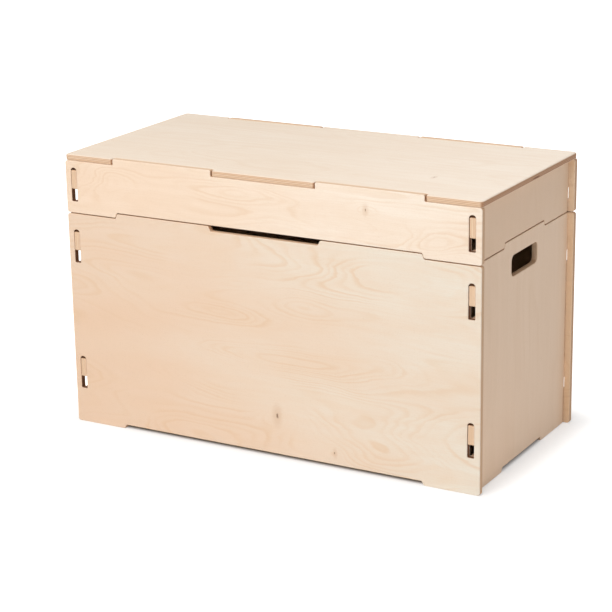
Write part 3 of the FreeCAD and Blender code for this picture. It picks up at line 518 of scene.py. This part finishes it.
def paintedSlotShade(tree, spot):
    # painted shade: the walls of the hook slots, which lie over the thickness of the sides, are coloured
    # dark brown for the shade deep in the slots
    low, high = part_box("box_right_side")
    reach = calc(tree, "ABSOLUTE", addNode(tree, "SeparateXYZ", {"Vector": spot}).outputs["X"])
    slack = birch["slotSlack"]
    inner = calc(tree, "GREATER_THAN", reach, low[0] - slack)
    outer = calc(tree, "LESS_THAN", reach, high[0] + slack)
    height = addNode(tree, "SeparateXYZ", {"Vector": spot}).outputs["Z"]
    above = calc(tree, "GREATER_THAN", height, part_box("bottom_panel")[0][2])
    rim = (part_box("box_front_panel")[1][2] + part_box("lid_front_panel")[0][2]) / 2
    fromRim = calc(tree, "ABSOLUTE", calc(tree, "SUBTRACT", height, rim))
    clear = calc(tree, "GREATER_THAN", fromRim, birch["rimClear"])
    below = calc(tree, "LESS_THAN", height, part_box("lid_top")[0][2] - slack)
    across = calc(tree, "MULTIPLY", inner, outer)
    walls = calc(tree, "MULTIPLY", across, calc(tree, "MULTIPLY", above, below))
    return calc(tree, "MULTIPLY", walls, clear)


def tint(tree, colour, mask, label, mode="MIX"):
    # one of the birch's colours laid over another by its own share
    share = calc(tree, "MULTIPLY", mask, birch[label + "Share"])
    return mixColour(tree, share, colour, birch[label], mode)


def birchPly(name, board):
    material, tree, shader = newMaterial(name + "_birch")
    low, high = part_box(name)
    axis = {"front": 1, "back": 1, "left": 0, "right": 0, "top": 2}[board["faces"]]
    outward = board["faces"] in ("back", "right", "top")
    down = high[axis] if outward else -low[axis]
    thickness = high[axis] - low[axis]
    turn = facings[board["faces"]]
    turned = Euler(turn).to_matrix()
    coords = addNode(tree, "TexCoord").outputs
    place = addNode(
        tree, "Mapping", {"Vector": coords["Object"], "Location": (0, 0, down), "Rotation": turn}
    ).outputs[0]
    facing = addNode(
        tree, "Mapping", {"Vector": coords["Normal"], "Rotation": turn}, vector_type="NORMAL"
    ).outputs[0]

    bent = useGroup(tree, grainBend, {"Place": place, "Seed": board["seed"]})["Bent"]
    lift = 0.0
    for centre, (along, across), rings in board["swells"]:
        hill = useGroup(tree, swell, {
            "Place": bent, "Centre": turned @ Vector(centre), "Reach": (along, across, 1), "Rings": rings,
        })["Lift"]
        lift = calc(tree, "ADD", lift, hill)
    core, halo = 0.0, 0.0
    for centre, size in board["knots"]:
        centre = turned @ Vector(centre)
        spot = useGroup(tree, knot, {"Place": place, "Centre": centre, "Size": size})
        core = calc(tree, "MAXIMUM", core, spot["Core"])
        halo = calc(tree, "MAXIMUM", halo, spot["Halo"])
        along, across, rings = (size * share for share in birch["knotSwell"])
        hill = useGroup(tree, swell, {
            "Place": place, "Centre": centre, "Reach": (along, across, 1), "Rings": rings,
        })["Lift"]
        lift = calc(tree, "ADD", lift, hill)
    wood = useGroup(tree, figure, {
        "Place": place, "Bent": bent, "Seed": board["seed"], "Rings": board["rings"], "Lift": lift,
    })
    stack = useGroup(tree, plyStack, {
        "Place": place, "Facing": facing, "Thickness": thickness,
        "Layer": thickness / board.get("plies", birch["plies"]),
    })

    strength = board["figure"]
    span = turnedSpan(tree, place, name, turned)
    lengthwise = addNode(tree, "SeparateXYZ", {"Vector": span}).outputs["X"]
    drift = ramp(tree, lengthwise, 0, 1, *board["drift"])
    drifted = calc(tree, "MULTIPLY", drift, birch["driftShare"])
    warmth = calc(tree, "MULTIPLY_ADD", wood["Tone"], birch["toneShare"], drifted)
    face = mixColour(tree, warmth, board.get("pale", birch["pale"]), board.get("warm", birch["warm"]))
    cloudy = calc(tree, "MULTIPLY", wood["Cloud"], birch["cloudShare"] * strength)
    face = mixColour(tree, cloudy, face, birch["cloud"])
    lined = calc(tree, "MULTIPLY", wood["Line"], birch["ringShare"] * strength)
    face = mixColour(tree, lined, face, birch["ring"])
    face = tint(tree, face, wood["Streak"], "streak")
    face = tint(tree, face, wood["Pore"], "pore")
    if board["knots"]:
        face = tint(tree, face, halo, "halo")
        face = tint(tree, face, core, "knot")
    touched = 0.0
    for centre, reach in board.get("touched", []):
        patch = useGroup(tree, handling, {"Place": coords["Object"], "Centre": centre, "Reach": reach})
        touched = calc(tree, "MAXIMUM", touched, patch["Touched"])
        face = tint(tree, face, touched, "handled")

    edge = mixColour(tree, stack["End"], birch["longEdge"], board.get("endEdge", birch["endEdge"]))
    edge = tint(tree, edge, stack["Shade"], "edgeShade", "MULTIPLY")
    fibrous = calc(tree, "MULTIPLY", stack["Fibre"], birch["fibreShare"])
    edge = mixColour(tree, fibrous, edge, birch["glue"])
    edge = tint(tree, edge, stack["Glue"], "glue")
    # painted shade on the walls of the hook slots
    if board["faces"] in ("front", "back"):
        edge = mixColour(tree, paintedSlotShade(tree, coords["Object"]), edge, birch["slotShadeColour"])
    # painted shade: a ply void is a dark patch for the shade inside the hole
    for centre, reach in board.get("voids", []):
        offset = vectorCalc(tree, "DIVIDE", vectorCalc(tree, "SUBTRACT", coords["Object"], centre), reach)
        voidShade = ramp(tree, vectorCalc(tree, "LENGTH", offset), *birch["voidFade"], 1.0, 0.0)
        edge = mixColour(tree, voidShade, edge, birch["knot"])
    colour = mixColour(tree, stack["Inside"], face, edge)
    feed(tree, shader.inputs["Base Color"], colour)

    pores = calc(tree, "MULTIPLY", wood["Pore"], -1.0)
    grain = calc(tree, "MULTIPLY_ADD", wood["Streak"], -birch["streakDip"], pores)
    grain = calc(tree, "MULTIPLY_ADD", wood["Line"], -birch["lineDip"], grain)
    glued = calc(tree, "MULTIPLY", stack["Glue"], -1.0)
    rawEdge = calc(tree, "MULTIPLY_ADD", stack["Fibre"], -birch["fibreDip"], glued)
    height = calc(tree, "MULTIPLY_ADD", stack["Inside"], calc(tree, "SUBTRACT", rawEdge, grain), grain)
    addBump(tree, shader, height, birch["bumpDistance"], birch["bumpStrength"])
    dull = calc(tree, "MULTIPLY_ADD", wood["Streak"], birch["streakDull"], birch["roughness"])
    dull = calc(tree, "MULTIPLY_ADD", stack["Inside"], birch["edgeDull"], dull)
    dull = calc(tree, "MULTIPLY_ADD", touched, birch["handledDull"], dull)
    feed(tree, shader.inputs["Roughness"], dull)
    shader.inputs["Specular IOR Level"].default_value = birch["specular"]
    return material


def dress(name, material):
    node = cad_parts[name]
    node.data.materials.clear()
    node.data.materials.append(material)


for name, board in boards.items():
    dress(name, birchPly(name, board))
print("plywood boards finished")


pine = {
    "early": screenColour(240, 212, 164),
    "late": screenColour(206, 158, 98),
    "ringWidth": 0.0024,
    "wander": (3, 18, 18),
    "wanderReach": (0, 0.012, 0.012),
    "lateSpan": (0.2, 0.9),  # where a ring darkens, from its start at 0 to its end at 1
    "lateShare": 0.75,
    "fibre": (18, 1400, 1400),
    "fibreSpan": (0.35, 0.65),
    "fibreShare": 0.18,
    "fibreDip": 0.6,
    "lateRise": 0.4,
    "lateDull": -0.08,
    "roughness": 0.56,
    "bumpDistance": 0.0004,
    "bumpStrength": 0.3,
}


def sawnPine(name, turn, pith):
    # rings round a pith line that runs beside the timber, so sides show stripes and ends show arcs
    material, tree, shader = newMaterial(name)
    coords = addNode(tree, "TexCoord").outputs
    place = addNode(
        tree, "Mapping", {"Vector": coords["Object"], "Rotation": turn, "Location": pith}
    ).outputs[0]
    wander = noise(tree, place, pine["wander"], 3).outputs["Color"]
    bent = vectorCalc(tree, "MULTIPLY_ADD", wander, pine["wanderReach"], place)
    radius = vectorCalc(tree, "LENGTH", vectorCalc(tree, "MULTIPLY", bent, (0, 1, 1)))
    saw = calc(tree, "FRACT", calc(tree, "DIVIDE", radius, pine["ringWidth"]))
    ringEnd = ramp(tree, saw, pine["lateSpan"][1], 1.0, 1.0, 0.0)
    late = calc(tree, "MULTIPLY", ramp(tree, saw, *pine["lateSpan"]), ringEnd)
    fibre = noise(tree, place, pine["fibre"], 3).outputs["Fac"]
    fibre = ramp(tree, fibre, *pine["fibreSpan"])
    lateShare = calc(tree, "MULTIPLY", late, pine["lateShare"])
    colour = mixColour(tree, lateShare, pine["early"], pine["late"])
    colour = mixColour(tree, calc(tree, "MULTIPLY", fibre, pine["fibreShare"]), colour, pine["late"])
    feed(tree, shader.inputs["Base Color"], colour)
    dull = calc(tree, "MULTIPLY_ADD", late, pine["lateDull"], pine["roughness"])
    feed(tree, shader.inputs["Roughness"], dull)
    raised = calc(tree, "MULTIPLY", late, pine["lateRise"])
    height = calc(tree, "MULTIPLY_ADD", fibre, -pine["fibreDip"], raised)
    addBump(tree, shader, height, pine["bumpDistance"], pine["bumpStrength"])
    return material


# cleats that run along the chest and cleats that run across it
longPine = sawnPine("long_pine", (0, 0, 0), (0, 0.19, 0.02))
crossPine = sawnPine("cross_pine", (0, 0, math.pi / 2), (0, -0.36, 0.03))
for name in ("bottom_cleat_front", "bottom_cleat_back"):
    dress(name, longPine)
for name in ("bottom_cleat_left", "bottom_cleat_right", "lid_cleat_left", "lid_cleat_right"):
    dress(name, crossPine)
print("cleats finished")


def plated(name, look):
    material, tree, shader = newMaterial(name)
    coords = addNode(tree, "TexCoord").outputs
    marks = useGroup(tree, brushing, {"Place": coords["Object"], "Stretch": look["stretch"]})
    colour = mixColour(tree, marks["Cloud"], look["bright"], look["dull"])
    scratched = calc(tree, "MULTIPLY", marks["Scratch"], platingLook["scratchShare"])
    colour = mixColour(tree, scratched, colour, look["scratch"])
    feed(tree, shader.inputs["Base Color"], colour)
    dull = calc(tree, "MULTIPLY_ADD", marks["Scratch"], platingLook["scratchDull"], look["roughness"])
    dull = calc(tree, "MULTIPLY_ADD", marks["Cloud"], platingLook["cloudDull"], dull)
    feed(tree, shader.inputs["Roughness"], dull)
    addBump(tree, shader, marks["Scratch"], platingLook["bumpDistance"], look["bump"])
    shader.inputs["Metallic"].default_value = 1.0
    return material


hingeSteel = plated("nickel_hinge", {
    "bright": screenColour(206, 202, 194), "dull": screenColour(194, 190, 182),
    "scratch": screenColour(172, 168, 161), "stretch": (40, 400, 5200), "roughness": 0.32, "bump": 0.18,
})
staySteel = plated("zinc_stay", {
    "bright": screenColour(200, 203, 207), "dull": screenColour(186, 189, 194),
    "scratch": screenColour(162, 166, 171), "stretch": (3000, 50, 1400), "roughness": 0.36, "bump": 0.2,
})
screwZinc = plated("zinc_screw", {
    "bright": screenColour(218, 215, 205), "dull": screenColour(184, 180, 168),
    "scratch": screenColour(140, 136, 128), "stretch": (700, 700, 700), "roughness": 0.30, "bump": 0.25,
})


rubber = {
    "dark": screenColour(196, 192, 184),
    "light": screenColour(214, 211, 204),
    "cloud": (420, 420, 420),
    "cloudSpan": (0.35, 0.65),
    "cloudDull": 0.12,
    "roughness": 0.38,
    "bumpDistance": 0.0001,
    "bumpStrength": 0.2,
}


def padRubber():
    material, tree, shader = newMaterial("soft_pad")
    coords = addNode(tree, "TexCoord").outputs
    cloud = noise(tree, coords["Object"], rubber["cloud"], 3).outputs["Fac"]
    cloud = ramp(tree, cloud, *rubber["cloudSpan"])
    feed(tree, shader.inputs["Base Color"], mixColour(tree, cloud, rubber["dark"], rubber["light"]))
    dull = calc(tree, "MULTIPLY_ADD", cloud, rubber["cloudDull"], rubber["roughness"])
    feed(tree, shader.inputs["Roughness"], dull)
    addBump(tree, shader, cloud, rubber["bumpDistance"], rubber["bumpStrength"])
    return material


softPad = padRubber()
for hand in ("left", "right"):
    for part in ("hinge_box_leaf", "hinge_lid_leaf", "hinge_pin"):
        dress(f"{hand}_{part}", hingeSteel)
    for part in ("box_plate", "lid_plate", "lower_arm", "upper_arm"):
        dress(f"{hand}_stay_{part}", staySteel)
print("metal and rubber finished")


# new pieces: screws, rivets, hinge pin ends and pads
modelling = {
    "mergeWithin": 0.00001,
    "sameHeight": 0.0001,
    "smoothBelow": math.radians(35),
}


def select(piece):
    bpy.ops.object.select_all(action="DESELECT")
    piece.select_set(True)
    bpy.context.view_layer.objects.active = piece


def applyPlace(piece):
    select(piece)
    bpy.ops.object.transform_apply(location=True, rotation=True, scale=True)


def looseParts(name):
    # the separate solids of a packed group, as short-lived copies
    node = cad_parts[name]
    copy = node.copy()
    copy.data = node.data.copy()
    copy.parent = None
    scene.collection.objects.link(copy)
    select(copy)
    bpy.ops.object.mode_set(mode="EDIT")
    bpy.ops.mesh.select_all(action="SELECT")
    bpy.ops.mesh.remove_doubles(threshold=modelling["mergeWithin"])
    bpy.ops.mesh.separate(type="LOOSE")
    bpy.ops.object.mode_set(mode="OBJECT")
    return list(bpy.context.selected_objects)


def readRound(part, axis=None):
    # where a turned solid's wide end is, which way it runs, how long it is and its two radii
    points = [v.co.copy() for v in part.data.vertices]
    low = Vector([min(p[i] for p in points) for i in range(3)])
    high = Vector([max(p[i] for p in points) for i in range(3)])
    size = high - low
    if axis is None:
        axis = max(range(3), key=lambda i: size[i])
    middle = (low + high) / 2
    wide = max(size[i] for i in range(3) if i != axis) / 2

    def reach(end):
        near = [p - middle for p in points if abs(p[axis] - end) < modelling["sameHeight"]]
        return max((Vector([p[i] for i in range(3) if i != axis]).length for p in near), default=0)

    headAtLow = reach(low[axis]) > reach(high[axis])
    start = middle.copy()
    start[axis] = low[axis] if headAtLow else high[axis]
    run = Vector((0, 0, 0))
    run[axis] = 1 if headAtLow else -1
    return start, run, size[axis], wide, min(reach(low[axis]), reach(high[axis]))


screwLook = {
    "sides": 24,
    "rimShare": 0.10,  # straight rim of the head, as a share of its cone
    "crossReach": 0.60,  # arm of the cross, as a share of the head's radius
    "crossWidth": 0.00085,
    "crossDepth": 0.0013,
    "threadPitch": 0.0011,
    "threadDepth": 0.00028,
    "tipLength": 0.0022,
    "headDepth": 0.0015,
    "tipShare": 0.12,  # the point's radius, as a share of the thread's root
    "crossTaper": 0.45,  # the cross's floor, as a share of its mouth
    "crossTurn": math.pi / 4,
    "spin": 0.71,  # how far each screw is turned past the one before it
}


def modelTurned(rings, sides):
    # a turned solid from its top ring down, each ring a height and a radius
    height, radius = rings[0]
    bpy.ops.object.select_all(action="DESELECT")
    bpy.ops.mesh.primitive_circle_add(
        vertices=sides, radius=radius, fill_type="NGON", location=(0, 0, height)
    )
    turned = bpy.context.object
    bpy.ops.object.mode_set(mode="EDIT")
    bpy.ops.mesh.select_all(action="SELECT")
    for nextHeight, nextRadius in rings[1:]:
        bpy.ops.mesh.extrude_region_move(TRANSFORM_OT_translate={"value": (0, 0, nextHeight - height)})
        scale = nextRadius / radius
        bpy.ops.transform.resize(value=(scale, scale, 1), center_override=(0, 0, 0))
        height, radius = nextHeight, nextRadius
    bpy.ops.mesh.select_all(action="SELECT")
    bpy.ops.mesh.normals_make_consistent(inside=False)
    bpy.ops.object.mode_set(mode="OBJECT")
    applyPlace(turned)
    return turned


def modelScrew(length, headRadius, shankRadius):
    # head up at the origin, shank down
    look = screwLook
    root = shankRadius - look["threadDepth"]
    rim = look["headDepth"] * look["rimShare"]
    rings = [(0, headRadius), (-rim, headRadius), (-look["headDepth"], shankRadius)]
    turns = int((length - look["headDepth"] - look["tipLength"]) / look["threadPitch"])
    for turn in range(turns):
        crest = -look["headDepth"] - look["threadPitch"] * turn
        rings += [(crest, shankRadius), (crest - look["threadPitch"] / 2, root)]
    rings.append((-length, root * look["tipShare"]))
    screw = modelTurned(rings, look["sides"])

    # cross recess: two tapered bars cut from the head
    for quarter in (0, 1):
        bpy.ops.object.select_all(action="DESELECT")
        bpy.ops.mesh.primitive_cube_add(size=1)
        bar = bpy.context.object
        reach = headRadius * look["crossReach"]
        bar.scale = (2 * reach, look["crossWidth"], 2 * look["crossDepth"])
        bar.rotation_euler = (0, 0, look["crossTurn"] + quarter * math.pi / 2)
        bpy.ops.object.transform_apply(location=True, rotation=True, scale=True)
        bpy.ops.object.mode_set(mode="EDIT")
        bpy.ops.mesh.select_all(action="DESELECT")
        bpy.ops.object.mode_set(mode="OBJECT")
        for face in bar.data.polygons:
            face.select = face.normal.z < -0.9  # the face that looks down
        bpy.ops.object.mode_set(mode="EDIT")
        bpy.ops.mesh.select_mode(type="FACE")
        taper = look["crossTaper"]
        bpy.ops.transform.resize(value=(taper, taper, 1), center_override=(0, 0, 0))
        bpy.ops.object.mode_set(mode="OBJECT")
        select(screw)
        cut = screw.modifiers.new("cross", "BOOLEAN")
        cut.operation = "DIFFERENCE"
        cut.object = bar
        cut.solver = "EXACT"
        bpy.ops.object.modifier_apply(modifier=cut.name)
        bpy.data.objects.remove(bar)
    return screw


def putAlong(piece, start, run, spin=0.0):
    # moves a piece modelled from the origin down, so that it starts at a place and runs along a direction
    aim = Vector((0, 0, -1)).rotation_difference(run)
    piece.matrix_world = Matrix.Translation(start) @ (Quaternion(run, spin) @ aim).to_matrix().to_4x4()
    applyPlace(piece)


def joinPieces(pieces, name, material):
    bpy.ops.object.select_all(action="DESELECT")
    for piece in pieces:
        piece.select_set(True)
    bpy.context.view_layer.objects.active = pieces[0]
    if len(pieces) > 1:
        bpy.ops.object.join()
    whole = bpy.context.object
    whole.name = name
    whole.data.materials.clear()
    whole.data.materials.append(material)
    select(whole)
    bpy.ops.object.shade_smooth_by_angle(angle=modelling["smoothBelow"])
    return whole


def screwSet(group, body):
    # every screw of a packed group becomes a copy of one modelled screw, turned a little each time
    parts = looseParts(group)
    spots = [readRound(part) for part in parts]
    for part in parts:
        bpy.data.objects.remove(part)
    spots.sort(key=lambda spot: tuple(round(c, 4) for c in spot[0]))
    length, headRadius, shankRadius = spots[0][2:]
    model = modelScrew(length, headRadius, shankRadius)
    copies = []
    for number, (start, run, *_) in enumerate(spots):
        copy = model.copy()
        copy.data = model.data.copy()
        scene.collection.objects.link(copy)
        putAlong(copy, start, run, number * screwLook["spin"])
        copies.append(copy)
    bpy.data.objects.remove(model)
    piece = joinPieces(copies, group.replace("_screws", "") + "_cross_screws", screwZinc)
    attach(piece, body)
    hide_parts(group)
    print(piece.name, len(spots), "screws")


for group, body in (
    ("bottom_cleat_screws", "box"), ("hinge_screws_box", "box"), ("stay_screws_box", "box"),
    ("lid_cleat_screws", "lid"), ("hinge_screws_lid", "lid"), ("stay_screws_lid", "lid"),
):
    screwSet(group, body)


domeLook = {
    "sides": 40,
    "angles": (12, 28, 44, 60, 74, 84, 90),  # from the crown of a dome down to its rim
    "rimShare": 0.30,  # straight rim below the dome, as a share of the head's thickness
    "rivetShank": 0.0025,
    "rivetHead": 0.0012,
    "pinShank": 0.0015,
    "pinHead": 0.0010,
    "padDome": 0.70,  # share of a pad's height that is domed
    "twoHeads": 1.2,  # an end this many times as wide as the shank is a head too
}


def dome(radius, thick, rimShare):
    # rings of a domed head, from its crown at 0 down to its flat side
    rise = thick * (1 - rimShare)
    rings = []
    for degrees in domeLook["angles"]:
        angle = math.radians(degrees)
        rings.append((rise * (math.cos(angle) - 1), radius * math.sin(angle)))
    return rings + [(-thick, radius)]


def headedPin(name, body, label, material, shank, headThick):
    # rivet or hinge pin along X, domed at its wide end, and at both ends where both are wide
    start, run, length, headRadius, endRadius = readRound(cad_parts[name], 0)
    head = dome(headRadius, headThick, domeLook["rimShare"])
    if endRadius > shank * domeLook["twoHeads"]:
        foot = [(-length - height, radius) for height, radius in reversed(head)]
        rings = head + [(-headThick, shank), (headThick - length, shank)] + foot
    else:
        rings = head + [(-headThick, shank), (-length, shank)]
    piece = modelTurned(rings, domeLook["sides"])
    putAlong(piece, start, run)
    piece = joinPieces([piece], label, material)
    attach(piece, body)
    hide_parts(name)


for hand in ("left", "right"):
    for joint, body in (("box", "box"), ("lid", "lid"), ("elbow", f"{hand}_stay_lower_arm")):
        headedPin(f"{hand}_stay_{joint}_rivet", body, f"{hand}_stay_{joint}_domed_rivet",
                  staySteel, domeLook["rivetShank"], domeLook["rivetHead"])
    headedPin(f"{hand}_hinge_pin", "box", f"{hand}_hinge_domed_pin", hingeSteel,
              domeLook["pinShank"], domeLook["pinHead"])


def makePads():
    parts = looseParts("lid_bumpers")
    pads = []
    for part in parts:
        start, run, height, radius, _ = readRound(part, 2)
        crown = start if run.z < 0 else start + run * height
        pad = modelTurned(dome(radius, height, 1 - domeLook["padDome"]), domeLook["sides"])
        putAlong(pad, crown, Vector((0, 0, -1)))
        pads.append(pad)
        bpy.data.objects.remove(part)
    piece = joinPieces(pads, "lid_round_pads", softPad)
    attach(piece, "box")
    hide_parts("lid_bumpers")


makePads()
print("rivets, hinge pins and pads finished")


studio = {
    "floor": screenColour(246, 246, 246),
    "floorSize": 24,
    "floorRoughness": 0.9,
    "floorSeen": 0.66,  # how strongly the floor shows light and shadow to the camera
    "glowNear": 0.44,  # the floor's own light beside the chest, kept low there as a painted shadow, and away from it
    "glowFar": 0.95,
    "glowReach": 0.12,
    "shadowUnderSpan": (-0.012, 0.005),  # from inside the chest's outline to outside it: no glow underneath, a painted shadow under the chest
    "ambient": 0.44,
    "keyPower": 101.0,
    "keyPlace": (-0.05, -2.7, 3.3),
    "keySize": 2.4,
    "keyAim": (0.05, 0.0, 0.30),
    "backPower": 24.0,
    "backPlace": (-0.4, 3.6, 1.0),
    "backSize": 2.6,
}


def seenDirectly(tree):
    # 1 where the eye sees a surface itself, through glass or in a mirror, and 0 for the light it sheds
    path = addNode(tree, "LightPath").outputs
    seen = calc(tree, "MAXIMUM", path["Is Camera Ray"], path["Is Glossy Ray"])
    return calc(tree, "MAXIMUM", seen, path["Is Transmission Ray"])


def makeFloor():
    bpy.ops.object.select_all(action="DESELECT")
    bpy.ops.mesh.primitive_plane_add(size=studio["floorSize"], location=(0, 0, 0))
    floor = bpy.context.object
    floor.name = "studio_floor"
    material, tree, shader = newMaterial("pale_floor")
    seen = seenDirectly(tree)
    shown = [c * studio["floorSeen"] for c in studio["floor"][:3]] + [1.0]
    feed(tree, shader.inputs["Base Color"], mixColour(tree, seen, studio["floor"], shown))
    shader.inputs["Roughness"].default_value = studio["floorRoughness"]
    shader.inputs["Specular IOR Level"].default_value = 0.0
    shader.inputs["Emission Color"].default_value = (1, 1, 1, 1)
    spot = addNode(tree, "TexCoord").outputs["Object"]
    # painted shadow: the floor's glow is low next to the chest and gone under it
    half = (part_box("box_right_side")[1][0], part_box("box_back_panel")[1][1], 1)
    outside = vectorCalc(tree, "SUBTRACT", vectorCalc(tree, "ABSOLUTE", spot), half)
    away = vectorCalc(tree, "LENGTH", vectorCalc(tree, "MAXIMUM", outside, (0, 0, 0)))
    openGlow = ramp(tree, away, 0.0, studio["glowReach"], studio["glowNear"], studio["glowFar"])
    sides = addNode(tree, "SeparateXYZ", {"Vector": outside}).outputs
    under = ramp(tree, calc(tree, "MAXIMUM", sides["X"], sides["Y"]), *studio["shadowUnderSpan"])
    glow = calc(tree, "MULTIPLY", openGlow, under)
    feed(tree, shader.inputs["Emission Strength"], calc(tree, "MULTIPLY", seen, glow))
    floor.data.materials.append(material)


def makeWorld():
    world = bpy.data.worlds.new("studio")
    scene.world = world
    world.use_nodes = True
    tree = world.node_tree
    seen = seenDirectly(tree)
    strength = calc(tree, "MULTIPLY_ADD", seen, 1.0 - studio["ambient"], studio["ambient"])
    feed(tree, tree.nodes["Background"].inputs["Strength"], strength)
    tree.nodes["Background"].inputs["Color"].default_value = (1, 1, 1, 1)


def makeLamp(name, place, aim, size, power):
    bpy.ops.object.select_all(action="DESELECT")
    bpy.ops.object.light_add(type="AREA", location=place)
    lamp = bpy.context.object
    lamp.name = name
    lamp.rotation_euler = (Vector(aim) - Vector(place)).to_track_quat("-Z", "Y").to_euler()
    lamp.data.shape = "SQUARE"
    lamp.data.size = size
    lamp.data.energy = power


camera = {
    "place": (1.7626, -3.1561, 1.3394),
    "azimuth": 29.677,
    "below": 17.026,  # degrees that it looks down
    "roll": -0.99,
    "lens": 116.34,
    "sensor": 36.0,
    "clipEnd": 60,
}


def makeCamera():
    bpy.ops.object.select_all(action="DESELECT")
    bpy.ops.object.camera_add(location=camera["place"])
    made = bpy.context.object
    look = Euler((math.radians(90 - camera["below"]), 0, math.radians(camera["azimuth"]))).to_quaternion()
    tilt = Quaternion((0, 0, 1), math.radians(camera["roll"]))
    made.rotation_euler = (look @ tilt).to_euler()
    made.data.lens = camera["lens"]
    made.data.sensor_width = camera["sensor"]
    made.data.clip_end = camera["clipEnd"]
    scene.camera = made


makeFloor()
makeWorld()
makeLamp("key", studio["keyPlace"], studio["keyAim"], studio["keySize"], studio["keyPower"])
makeLamp("back", studio["backPlace"], studio["keyAim"], studio["backSize"], studio["backPower"])
makeCamera()
scene.view_settings.view_transform = "Standard"
print("floor, light and camera set")
